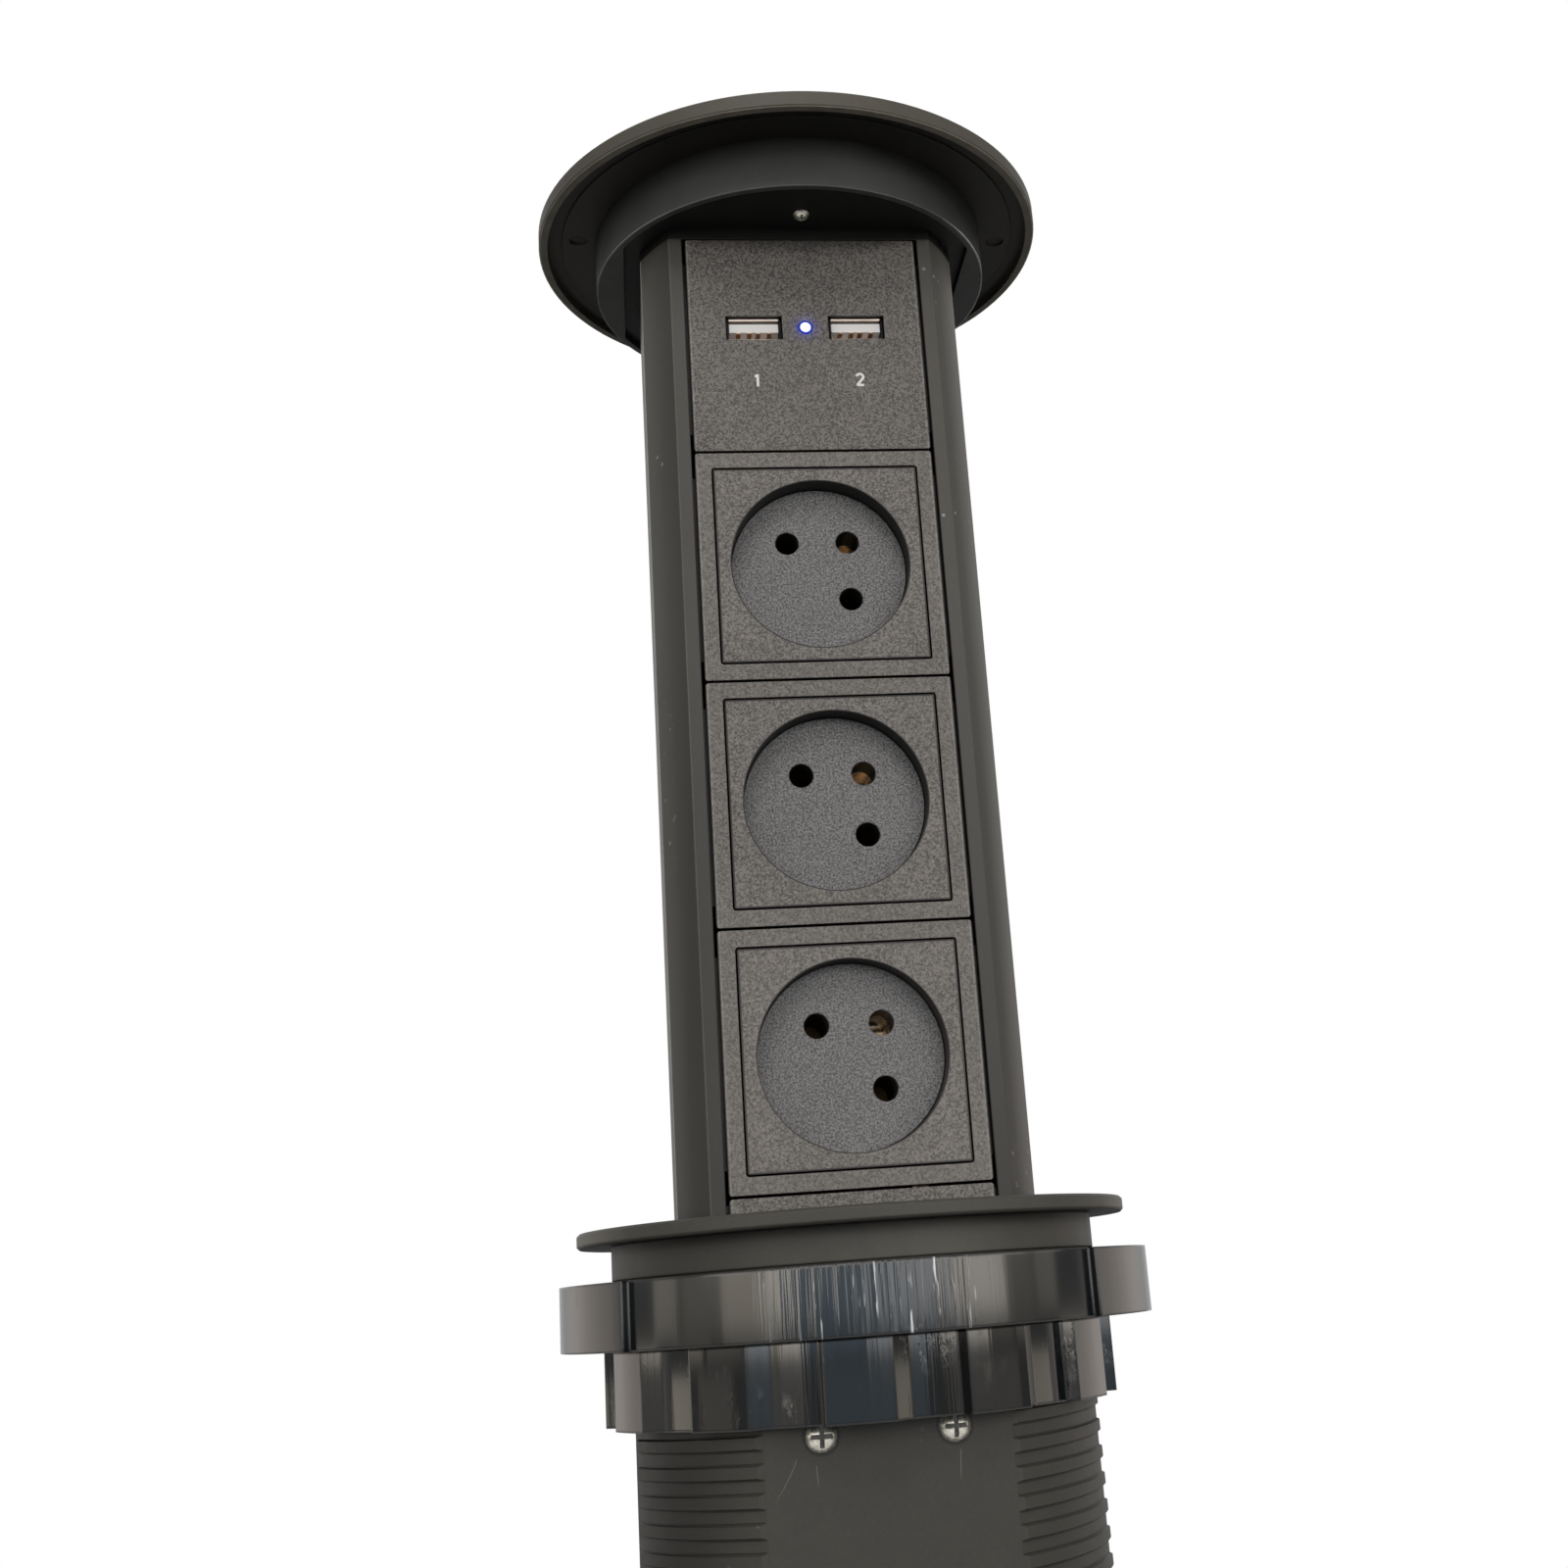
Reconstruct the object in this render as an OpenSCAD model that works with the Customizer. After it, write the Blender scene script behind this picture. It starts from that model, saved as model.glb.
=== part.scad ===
/* [Modules] */
// Side of each square outlet and charger module.
module_size = 52.8; // [52.4:0.2:53.4]
// Clear line between neighbouring modules.
module_gap = 0.6; // [0.4:0.1:1]
// Width of the frame seen around an outlet insert.
frame_w = 3.9; // [3.4:0.1:4.4]
// Least width of the insert beside its round recess.
insert_rim = 3; // [2.5:0.1:4]
// Depth of the round outlet recess.
recess_depth = 5; // [4.5:0.5:7]
// Distance between the two current pins of an outlet.
pin_spacing = 19; // [18:0.5:20]
// Diameter of the pin holes.
pin_hole_d = 5.2; // [5:0.1:5.6]
// Height of the filler strip seen over the desk flange.
strip_show = 3.8; // [3:0.2:6]

/* [Charger] */
// Outer width of a charging port.
port_w = 12.4; // [12.2:0.1:12.8]
// Outer height of a charging port.
port_h = 5.5; // [5.2:0.1:5.8]
// Distance between the two port centres.
port_spacing = 23.3; // [22:0.1:25]
// Height of the ports over the middle of the charger module.
port_rise = 4; // [2:0.5:8]
// Diameter of the lamp lens.
lamp_d = 3; // [2.6:0.2:4]

/* [Tower] */
// Radius of the round tower section.
tower_r = 40; // [39.8:0.1:40.6]
// Depth of the tower's side flats under its round section.
side_cut = 3.5; // [3.2:0.1:3.8]
// Wall of the tower extrusion.
tower_wall = 2.2; // [2:0.1:2.4]
// Width of each front rail lip.
rail_w = 3; // [2.8:0.1:3.2]
// Thickness of each front rail lip.
rail_t = 2; // [1.8:0.1:2.2]
// Thickness of the plate on the tower's head.
plate_t = 2.6; // [2.4:0.1:3]

/* [Lid] */
// Distance from the tower's round section to the boss's edge.
boss_margin = 6.8; // [6.4:0.2:7.4]
// Distance from the boss's lower edge up to the lid's lip.
boss_drop = 10.9; // [10:0.1:12]
// Depth of the boss pocket that takes the tower's head.
pocket_depth = 1.7; // [1.4:0.1:2]
// Depth of the recess inside the lid's lip.
lid_recess = 1.3; // [1:0.1:2]
// Full height of the lid's rim.
lid_rim = 4.1; // [3.9:0.1:5]
// Width of the lid's lip.
lip_w = 2.1; // [1.6:0.1:3]

/* [Desk flange] */
// Thickness of the desk flange.
flange_t = 3; // [2.6:0.1:3.6]
// Width of the flange face that lies on the desk.
flange_seat = 7; // [6:0.5:10]
// Wall of the collar in the desk hole.
collar_wall = 2.7; // [2.5:0.1:3]
// Height of the collar's full-radius land.
collar_land = 6.6; // [6:0.1:6.8]

/* [Clamp] */
// Height of the clamp ring.
clamp_h = 12.7; // [11:0.1:14]
// Width of the clamp ring's face at the front.
clamp_face = 8.6; // [7:0.2:10]
// How far the side lobes stand out from the clamp ring.
lobe_step = 1.7; // [1:0.1:2.5]
// Height of the ring nut.
nut_h = 14.7; // [13:0.1:16]
// Number of grip ribs on the ring nut.
grip_count = 12; // [9:1:12]
// How far the grip ribs stand out.
grip_step = 2.6; // [2:0.1:3]

/* [Housing] */
// Thread pitch.
thread_pitch = 5; // [4.8:0.1:5.2]
// Depth of the thread.
thread_depth = 0.65; // [0.5:0.05:0.8]
// Number of thread turns.
thread_turns = 16; // [12:1:18]
// Width of the housing's front flat.
flat_w = 48.6; // [46:0.2:50]
// Distance between the two screws on the front flat.
screw_spacing = 24.8; // [20:0.2:30]
// Wall of the housing at its round sides.
housing_wall = 3; // [2.8:0.1:3.2]
// Length of the guide bush.
guide_len = 32; // [30:1:40]

/* [Cord gland] */
// Diameter of the cord bore in the gland cap.
cord_d = 8.4; // [7:0.2:9]

/* [Hidden] */
$fn = 96;

// Clear space between neighbouring pieces.
gap = 0.3;
// Overlap of forms joined into one piece, and run-out of cutting forms.
join = 0.4;
run_out = 1;

// Places across the tower's section. The front face looks along -Y.
rail_line = 0.7;
rail_in = module_size / 2 + rail_line;
rail_out = rail_in + rail_w;
front_y = -sqrt(tower_r * tower_r - rail_out * rail_out);
tower_side = tower_r - side_cut;
tower_in_r = tower_r - tower_wall;
tower_in_side = tower_side - tower_wall;
rail_back_y = front_y + rail_t;
ear_y = rail_back_y + gap;
ear_t = 2;
ear_w = 2 * (sqrt(tower_in_r * tower_in_r - rail_back_y * rail_back_y) - 2 * gap);
ear_back_y = ear_y + ear_t;
channel_r = 3.2;
channel_sink = 0.9;
channel_x = tower_in_side - channel_r + join;
channel_back_r = tower_in_r - channel_r + channel_sink;
channel_back_angle = 40;
channel_y = -10;

// Heights of the tower.
pitch = module_size + module_gap;
module_base = flange_t + strip_show + module_gap;
charger_z = module_base + module_size / 2 + 3 * pitch;
stack_top = module_base + 4 * pitch - module_gap;
tower_top = stack_top + gap;
plate_top = tower_top + plate_t;

// Heights and radii of the lid.
boss_r = tower_r + boss_margin;
boss_bottom = plate_top - pocket_depth;
lip_z = boss_bottom + boss_drop;
lid_under = lip_z + lid_recess;
lid_top = lip_z + lid_rim;
lip_line = 1.2;
boss_wall = 2.6;
boss_floor = plate_top + boss_wall;
pocket_line = 0.2;
pocket_edge = 1.5;
pocket_half = tower_r + pocket_line;
pocket_r = boss_r - pocket_edge;
travel = lid_under - flange_t - gap;

// Radii and heights of the desk flange.
boss_line = 0.5;
flange_bore = boss_r + boss_line;
collar_r = flange_bore + collar_wall;
flange_r = collar_r + flange_seat;
lid_r = flange_r + lip_line + lip_w;
lip_in_r = flange_r + lip_line;
collar_relief = 1;
web_t = 2.9;
web_line = 0.7;
web_top = boss_bottom - travel - web_line;
collar_bottom = web_top - web_t;
web_clear = 0.6;
web_in_r = tower_r + web_clear;

// Radii and flats of the housing.
crest_step = 1.95;
side_flat_depth = 1.95;
crest_r = collar_r - crest_step;
root_r = crest_r - thread_depth;
thread_start = 2.85;
housing_in_r = root_r - housing_wall;
housing_flat = sqrt(crest_r * crest_r - flat_w * flat_w / 4);
housing_side = crest_r - side_flat_depth;
flat_wall = 2.6;
housing_in_flat = housing_flat - flat_wall;
housing_top = collar_bottom - gap;

// Spigot of the flange, guide bush and brake.
spigot_r = housing_in_r - gap;
spigot_flat = housing_in_flat - gap;
spigot_wall = 1.8;
bush_r = spigot_r - spigot_wall - gap;
bush_flat = spigot_flat - spigot_wall - gap;
bush_top = collar_bottom - gap;
bush_bottom = bush_top - guide_len;
pad_w = 16;
pad_h = 14;
pad_t = 2.2;
pad_line = 0.1;
pad_x = tower_side + pad_line;
pad_z = bush_top - guide_len / 2;
spring_t = 0.4;
spring_w = 10;
spigot_in_r = spigot_r - spigot_wall;
spring_seat = sqrt(spigot_in_r * spigot_in_r - spring_w * spring_w / 4);
spring_rise = spring_seat - pad_x - pad_t - 2 * pad_line;
pad_edge = 0.5;
spring_half = pad_h / 2 - pad_edge;
spring_r = (spring_half * spring_half + spring_rise * spring_rise) / (2 * spring_rise);

// Tower foot, end cap and gland.
tower_bottom = bush_bottom - gap;
plug_t = 5;
plug_line = 0.5;
plug_r = housing_in_r - plug_line;
plug_flat = housing_in_flat - plug_line;
plug_low = tower_bottom - plug_t - travel;
cap_spigot = 7.5;
foot_line = 0.9;
cap_top = plug_low - foot_line;
housing_bottom = cap_top - cap_spigot;
cap_t = 3;
cap_under = housing_bottom - cap_t;
cord_r = cord_d / 2;
gland_wall = 2.6;
gland_step = 0.8;
hex_margin = 4;
gland_r = cord_r + gland_wall;
gland_bore = cord_r + gland_step;
gland_hex = gland_r + hex_margin;
gland_flange_t = 5;
gland_cap_h = 10;
locknut_t = 3.5;

// Pan head screws.
screw_head_r = 3;
screw_head_h = 1.9;
screw_r = 1.25;
screw_x = screw_spacing / 2;
screw_drop = 24.5;
screw_z = collar_bottom - screw_drop;
screw_len = 8;
cap_screw_z = housing_bottom + cap_spigot / 2;
lid_screw_head_r = 1.9;
lid_screw_head_h = 1.3;
lid_screw_r = 1;
lid_screw_front_out = 6.2;
lid_screw_back_out = 2.6;
lid_screw_front = front_y - lid_screw_front_out;
lid_screw_back = tower_r + lid_screw_back_out;
lid_screw_bite = 2;
tower_screw_len = 18;
screw_slack = 0.25;
thread_line = 0.1;
head_sink = 0.2;

// Depths inside an outlet, behind the front face.
insert_line = 0.4;
insert_lap = 1.3;
insert_corner = 0.3;
insert_flange_t = 2.4;
insert_size = module_size - 2 * frame_w;
recess_d = insert_size - 2 * insert_rim;
frame_opening = insert_size + 2 * insert_line;
insert_flange = insert_size + 2 * insert_lap;
insert_flange_y = ear_back_y + gap;
insert_back_y = insert_flange_y + insert_flange_t;
recess_y = front_y + recess_depth;
core_inset = 0.5;
core_floor = 1;
core_size = insert_size - 2 * core_inset;
core_y = max(insert_back_y, recess_y + core_floor) + gap;
bore_len = 8;
chamber_y = recess_y + bore_len;
sleeve_len = 10;
core_back_y = chamber_y + sleeve_len;
pin_r = pin_hole_d / 2;
pin_at = pin_spacing / sqrt(8);
chamber_wall = 1.1;
chamber_r = pin_r + chamber_wall;
sleeve_out_r = chamber_r - gap;
bar_y = core_back_y + gap;
bar_t = 1.2;
bar_w = 2 * sleeve_out_r + join;
bar_thin = 3.6;
cover_y = bar_y + bar_t + gap;
cover_t = 2;
earth_bar_out = 8.3;
earth_bar_x = pin_at + earth_bar_out;
terminal_h = 16;
terminal_t = 12;
terminal_drop = 29.4;
terminal_z = module_base - terminal_drop;
bar_reach = 3;
bar_bottom = terminal_z + bar_reach;
bar_top = module_base + module_size / 2 + 2 * pitch + pin_at + bar_w / 2 + run_out;

// Depths inside the charger.
port_wall = 0.45;
port_len = 13.5;
port_sink = 1.1;
port_front_y = front_y + port_sink;
tongue_in = 0.35;
tongue_y = port_front_y + tongue_in;
tongue_low = -0.45;
tongue_high = 1.65;
port_z = charger_z + port_rise;
board_y = front_y + port_len + gap;
board_t = 1.6;
board_side = 3.4;
board_end = 6.4;
board_w = module_size - 2 * board_side;
board_h = module_size - 2 * board_end;
post_r = 2.5;
post_side = 3.5;
post_end = 5;
post_x = board_w / 2 - post_side;
post_drop = board_h / 2 - post_end;
lens_proud = 0.15;

// Clamp ring and ring nut.
clamp_line = 0.4;
clamp_drop = 0.6;
clamp_bore = collar_r + clamp_line;
clamp_r = clamp_bore + clamp_face;
lobe_r = clamp_r + lobe_step;
lobe_half = 42.5;
clamp_turn = -4.5;
clamp_top = -collar_land - clamp_drop;
clamp_bottom = clamp_top - clamp_h;
nut_top = clamp_bottom - gap;
nut_bottom = nut_top - nut_h;
nut_line = 0.35;
nut_wall = 1;
nut_bore = crest_r + nut_line;
nut_r = nut_bore + nut_wall;
grip_r = nut_r + grip_step;
grip_top_half = 6.3;
grip_steep = 7.6;
grip_slope = 12.2;
grip_turn = -7;

// Flat form in X and Z, drawn from y0 back to y1.
module slab(y0, y1) {
    translate([0, y1, 0])
        rotate([90, 0, 0])
            linear_extrude(height = y1 - y0)
                children();
}

// Round form along Y from y0 back to y1.
module rod(x, z, y0, y1, r) {
    translate([x, y1, z])
        rotate([90, 0, 0])
            cylinder(r = r, h = y1 - y0);
}

// Rectangle with round corners, about its own middle.
module rounded(w, h, r) {
    square([w - 2 * r, h], center = true);
    square([w, h - 2 * r], center = true);
    for (sx = [-1, 1])
        for (sy = [-1, 1])
            translate([sx * (w / 2 - r), sy * (h / 2 - r)])
                circle(r = r);
}

// Round section cut by one flat in front.
module flatted(r, flat) {
    intersection() {
        circle(r = r);
        translate([-r - run_out, -flat])
            square([2 * (r + run_out), r + flat + run_out]);
    }
}

// Outline of the housing's wall: a front flat and two side flats.
module housing_outline() {
    intersection() {
        flatted(root_r, housing_flat);
        square([2 * housing_side, 3 * root_r], center = true);
    }
}

// Tower section, grown outward by a margin.
module tower_section(grow) {
    intersection() {
        circle(r = tower_r + grow);
        translate([-tower_side - grow, front_y - grow])
            square([2 * (tower_side + grow), tower_r - front_y + 2 * grow]);
    }
}

// Places of the four screw channels in the tower section.
module at_channels() {
    for (sx = [-1, 1]) {
        translate([sx * channel_x, channel_y])
            children();
        translate([
            sx * channel_back_r * cos(channel_back_angle),
            channel_back_r * sin(channel_back_angle)
        ])
            children();
    }
}

// Pan head screw with its head over z = 0 and a cross recess.
module pan_screw(head_r, head_h, shaft_r, shaft_len) {
    dome_r = (head_r * head_r + head_h * head_h) / (2 * head_h);
    cross_l = head_r * 1.35;
    cross_w = head_r * 0.28;
    cross_d = head_h * 0.55;
    difference() {
        union() {
            intersection() {
                cylinder(r = head_r, h = head_h);
                translate([0, 0, head_h - dome_r])
                    sphere(r = dome_r);
            }
            translate([0, 0, -shaft_len])
                cylinder(r = shaft_r, h = shaft_len + join);
        }
        for (a = [0, 90])
            rotate([0, 0, a])
                translate([-cross_l / 2, -cross_w / 2, head_h - cross_d])
                    cube([cross_l, cross_w, cross_d + run_out]);
    }
}

// The two places of the screws on the housing's front flat, heads outward.
module at_flat(z) {
    for (sx = [-1, 1])
        translate([sx * screw_x, -housing_flat, z])
            rotate([90, 0, 0])
                children();
}

// Round lid with a lip, a recess, a shallow groove and two dimples under it.
module lid() {
    edge = 0.7;
    groove_w = 3.4;
    groove_d = 0.5;
    dimple_r = 2.2;
    dimple_in = 7.4;
    dimple_x = lip_in_r - dimple_in;
    dimple_y = -4.4;
    color([0.17, 0.17, 0.17])
        difference() {
            rotate_extrude()
                polygon([
                    [0, lid_under],
                    [lip_in_r - groove_w, lid_under],
                    [lip_in_r - groove_w, lid_under + groove_d],
                    [lip_in_r, lid_under + groove_d],
                    [lip_in_r, lip_z],
                    [lid_r - edge / 2, lip_z],
                    [lid_r, lip_z + edge / 2],
                    [lid_r, lid_top - edge],
                    [lid_r - edge, lid_top],
                    [0, lid_top]
                ]);
            for (sx = [-1, 1])
                translate([sx * dimple_x, dimple_y, lid_under - run_out])
                    cylinder(r = dimple_r, h = run_out + groove_d);
            for (y = [lid_screw_front, lid_screw_back])
                translate([0, y, lid_under - run_out])
                    cylinder(r = lid_screw_r + thread_line, h = run_out + lid_screw_bite + head_sink);
        }
}

// Boss under the lid, hollow above, with a pocket for the tower's head below.
module lid_base() {
    post = 3.4;
    color([0.19, 0.19, 0.19])
        difference() {
            union() {
                difference() {
                    translate([0, 0, boss_bottom])
                        cylinder(r = boss_r, h = lid_under - boss_bottom);
                    translate([0, 0, boss_floor])
                        cylinder(r = boss_r - boss_wall, h = lid_under - boss_floor + run_out);
                }
                for (y = [lid_screw_front, lid_screw_back])
                    translate([0, y, boss_floor - join])
                        cylinder(r = post, h = lid_under - boss_floor + join);
            }
            translate([0, 0, boss_bottom - run_out])
                linear_extrude(height = pocket_depth + run_out)
                    intersection() {
                        circle(r = pocket_r);
                        square([2 * pocket_half, 2 * pocket_r + run_out], center = true);
                    }
            for (y = [lid_screw_front, lid_screw_back])
                translate([0, y, plate_top - run_out])
                    cylinder(r = lid_screw_r + screw_slack, h = lid_under - plate_top + 2 * run_out);
            translate([0, 0, plate_top - run_out])
                linear_extrude(height = boss_wall + 2 * run_out)
                    at_channels()
                        circle(r = screw_r + screw_slack);
        }
}

// Screws that hold the lid, driven from below.
module lid_screws() {
    color([0.75, 0.75, 0.76])
        for (y = [lid_screw_front, lid_screw_back])
            translate([0, y, plate_top])
                rotate([180, 0, 0])
                    pan_screw(
                        lid_screw_head_r, lid_screw_head_h, lid_screw_r,
                        lid_under - plate_top + lid_screw_bite
                    );
}

// Screws that join lid boss, top plate and tower.
module tower_screws() {
    color([0.75, 0.75, 0.76])
        translate([0, 0, boss_floor])
            at_channels()
                pan_screw(screw_head_r, screw_head_h, screw_r, tower_screw_len);
}

// Tower extrusion: round back, side flats, open front between two rail lips.
module tower_profile() {
    color([0.2, 0.2, 0.2])
        translate([0, 0, tower_bottom])
            linear_extrude(height = tower_top - tower_bottom)
                difference() {
                    union() {
                        difference() {
                            tower_section(0);
                            intersection() {
                                circle(r = tower_in_r);
                                translate([-tower_in_side, rail_back_y])
                                    square([2 * tower_in_side, tower_r - rail_back_y]);
                            }
                        }
                        at_channels()
                            circle(r = channel_r);
                    }
                    translate([-rail_in, front_y - run_out])
                        square([2 * rail_in, rail_t + 2 * run_out]);
                    at_channels()
                        circle(r = screw_r + thread_line);
                }
}

// Plate on the tower's head.
module tower_top_plate() {
    color([0.16, 0.16, 0.16])
        translate([0, 0, tower_top])
            linear_extrude(height = plate_t)
                difference() {
                    tower_section(0);
                    at_channels()
                        circle(r = screw_r + screw_slack);
                }
}

// Foot of the tower, wider than the guide bush so that it stops there.
module tower_end_plug() {
    cord_hole_r = cord_r + 1;
    cord_hole_y = 10;
    upstand_wall = 2.4;
    upstand_h = 8;
    color([0.15, 0.15, 0.15])
        difference() {
            union() {
                translate([0, 0, tower_bottom - plug_t])
                    linear_extrude(height = plug_t)
                        flatted(plug_r, plug_flat);
                translate([0, cord_hole_y, tower_bottom - join])
                    cylinder(r = cord_hole_r + upstand_wall, h = upstand_h + join);
            }
            translate([0, cord_hole_y, tower_bottom - plug_t - run_out])
                cylinder(r = cord_hole_r, h = plug_t + upstand_h + 2 * run_out);
            translate([0, 0, tower_bottom - plug_t - run_out])
                linear_extrude(height = plug_t + 2 * run_out)
                    at_channels()
                        circle(r = screw_r + screw_slack);
            translate([0, 0, tower_bottom - plug_t - run_out])
                linear_extrude(height = screw_head_h + head_sink + run_out)
                    at_channels()
                        circle(r = screw_head_r + screw_slack);
        }
}

// Screws that hold the foot to the tower, heads sunk in it.
module end_plug_screws() {
    color([0.75, 0.75, 0.76])
        translate([0, 0, tower_bottom - plug_t + screw_head_h + head_sink])
            at_channels()
                rotate([180, 0, 0])
                    pan_screw(screw_head_r, screw_head_h, screw_r, tower_screw_len);
}

// Module plate held behind the rail lips by two ears.
module module_plate(w, z0, z1, ear_z0, ear_z1) {
    corner = 0.7;
    translate([0, 0, (z0 + z1) / 2])
        slab(front_y, ear_back_y)
            rounded(w, z1 - z0, corner);
    translate([0, 0, (ear_z0 + ear_z1) / 2])
        slab(ear_y, ear_back_y)
            square([ear_w, ear_z1 - ear_z0], center = true);
}

// Strip that closes the tower's front below the outlets.
module filler_strip() {
    top_z = module_base - module_gap;
    color([0.3, 0.29, 0.28])
        module_plate(
            module_size, tower_bottom + gap, top_z, tower_bottom + gap + run_out, top_z - run_out
        );
}

// Faceplate of the charger with port slots, lamp hole and four posts for the board.
module usb_faceplate() {
    ear_margin = 5;
    slot_line = 0.2;
    color([0.3, 0.29, 0.28])
        difference() {
            union() {
                module_plate(
                    module_size, charger_z - module_size / 2, charger_z + module_size / 2,
                    charger_z - module_size / 2 + ear_margin, charger_z + module_size / 2 - ear_margin
                );
                for (sx = [-1, 1])
                    for (sz = [-1, 1])
                        rod(
                            sx * post_x, charger_z + sz * post_drop, ear_back_y - join, board_y, post_r
                        );
            }
            for (sx = [-1, 1])
                translate([sx * port_spacing / 2, 0, port_z])
                    slab(front_y - run_out, ear_back_y + run_out)
                        square([port_w + 2 * slot_line, port_h + 2 * slot_line], center = true);
            rod(0, port_z, front_y - run_out, ear_back_y + run_out, lamp_d / 2 + slot_line);
        }
}

// Metal shells of the two ports, closed at the back.
module usb_shells() {
    color([0.7, 0.69, 0.66])
        for (sx = [-1, 1])
            translate([sx * port_spacing / 2, 0, port_z])
                difference() {
                    slab(port_front_y, front_y + port_len)
                        square([port_w, port_h], center = true);
                    slab(port_front_y - run_out, front_y + port_len - port_wall)
                        square([port_w - 2 * port_wall, port_h - 2 * port_wall], center = true);
                }
}

// Contact tongues inside the ports.
module usb_tongues() {
    tongue_w = 11.2;
    color([0.9, 0.9, 0.88])
        for (sx = [-1, 1])
            translate([sx * port_spacing / 2 - tongue_w / 2, tongue_y, port_z + tongue_low])
                cube([tongue_w, front_y + port_len - port_wall - tongue_y, tongue_high - tongue_low]);
}

// Four contact strips under each tongue.
module usb_contacts() {
    strip_w = 1;
    strip_t = 0.2;
    strip_in = 0.1;
    strip_len = 8;
    color([0.72, 0.55, 0.25])
        for (sx = [-1, 1])
            for (x = [-3.5, -1, 1, 3.5])
                translate([
                    sx * port_spacing / 2 + x - strip_w / 2,
                    tongue_y + strip_in,
                    port_z + tongue_low - strip_t
                ])
                    cube([strip_w, strip_len, strip_t]);
}

// Lamp lens between the ports, reaching back to the board.
module lamp_lens() {
    color([0.75, 0.85, 1])
        rod(0, port_z, front_y - lens_proud, board_y - gap, lamp_d / 2);
}

// Charger board behind the ports.
module usb_board() {
    color([0.08, 0.3, 0.16])
        translate([0, 0, charger_z])
            slab(board_y, board_y + board_t)
                square([board_w, board_h], center = true);
}

// Charger transformer on the board's back.
module usb_transformer() {
    block_w = 16;
    block_t = 13;
    block_x = -9;
    block_drop = 8;
    color([0.85, 0.75, 0.3])
        translate([block_x, 0, charger_z - block_drop])
            slab(board_y + board_t, board_y + board_t + block_t)
                rounded(block_w, block_w, 1);
}

// Two charger capacitors on the board's back.
module usb_capacitors() {
    can_r = 4.5;
    can_len = 14;
    can_x = 11;
    can_drop = 10;
    color([0.12, 0.12, 0.25])
        for (sz = [-1, 1])
            rod(can_x, charger_z + sz * can_drop, board_y + board_t, board_y + board_t + can_len, can_r);
}

// Middle height of an outlet, counted from the lowest.
function socket_z(i) = module_base + module_size / 2 + i * pitch;

// Square frame of an outlet.
module socket_frame(i) {
    ear_margin = 5;
    color([0.3, 0.29, 0.28])
        difference() {
            module_plate(
                module_size, socket_z(i) - module_size / 2, socket_z(i) + module_size / 2,
                socket_z(i) - module_size / 2 + ear_margin, socket_z(i) + module_size / 2 - ear_margin
            );
            translate([0, 0, socket_z(i)])
                slab(front_y - run_out, ear_back_y + run_out)
                    rounded(frame_opening, frame_opening, insert_corner + insert_line);
        }
}

// Square insert of an outlet with the round recess through it and a flange behind the frame.
module socket_insert(i) {
    color([0.3, 0.29, 0.28])
        translate([0, 0, socket_z(i)])
            difference() {
                union() {
                    slab(front_y, insert_back_y)
                        rounded(insert_size, insert_size, insert_corner);
                    slab(insert_flange_y, insert_back_y)
                        square([insert_flange, insert_flange], center = true);
                }
                rod(0, 0, front_y - run_out, insert_back_y + run_out, recess_d / 2);
            }
}

// The places of the pin holes: two current pins on a diagonal, the earth pin at the right-angled corner.
module at_pin(which) {
    x = which == "live" ? -pin_at : pin_at;
    z = which == "neutral" ? -pin_at : pin_at;
    translate([x, 0, z])
        children();
}

// Core of an outlet: recess floor and block with three pin bores and their contact chambers.
module socket_core(i) {
    mouth = 0.15;
    floor_line = 0.2;
    color([0.28, 0.3, 0.33])
        translate([0, 0, socket_z(i)])
            difference() {
                union() {
                    rod(0, 0, recess_y, core_y + join, recess_d / 2 - floor_line);
                    slab(core_y, core_back_y)
                        rounded(core_size, core_size, 2);
                }
                for (which = ["live", "neutral", "earth"])
                    at_pin(which) {
                        rod(0, 0, recess_y - run_out, chamber_y + run_out, pin_r);
                        rod(0, 0, chamber_y, core_back_y + run_out, chamber_r);
                        translate([0, recess_y + mouth, 0])
                            rotate([90, 0, 0])
                                cylinder(r1 = pin_r, r2 = pin_r + 2 * mouth, h = 2 * mouth);
                    }
            }
}

// Pin sleeves of one busbar in the three cores, bored a little way into the bar that is drawn with them.
module sleeved(which) {
    difference() {
        union() {
            children();
            for (i = [0 : 2])
                translate([0, 0, socket_z(i)])
                    at_pin(which)
                        rod(0, 0, chamber_y + gap, bar_y + join, sleeve_out_r);
        }
        for (i = [0 : 2])
            translate([0, 0, socket_z(i)])
                at_pin(which)
                    rod(0, 0, chamber_y, bar_y + join, pin_r);
    }
}

// Upright strip of a busbar.
module bar_strip(x, w) {
    translate([x - w / 2, bar_y, bar_bottom])
        cube([w, bar_t, bar_top - bar_bottom]);
}

// Cross strips of a busbar at one pin height.
module bar_tabs(x0, x1, z) {
    for (i = [0 : 2])
        translate([x0, bar_y, socket_z(i) + z - bar_w / 2])
            cube([x1 - x0, bar_t, bar_w]);
}

// Live busbar behind the cores.
module live_busbar() {
    color([0.8, 0.62, 0.3])
        sleeved("live")
            bar_strip(-pin_at, bar_w);
}

// Neutral busbar behind the cores.
module neutral_busbar() {
    color([0.8, 0.62, 0.3])
        sleeved("neutral") {
            bar_strip(0, bar_thin);
            bar_tabs(0, pin_at + bar_w / 2, -pin_at);
        }
}

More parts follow.
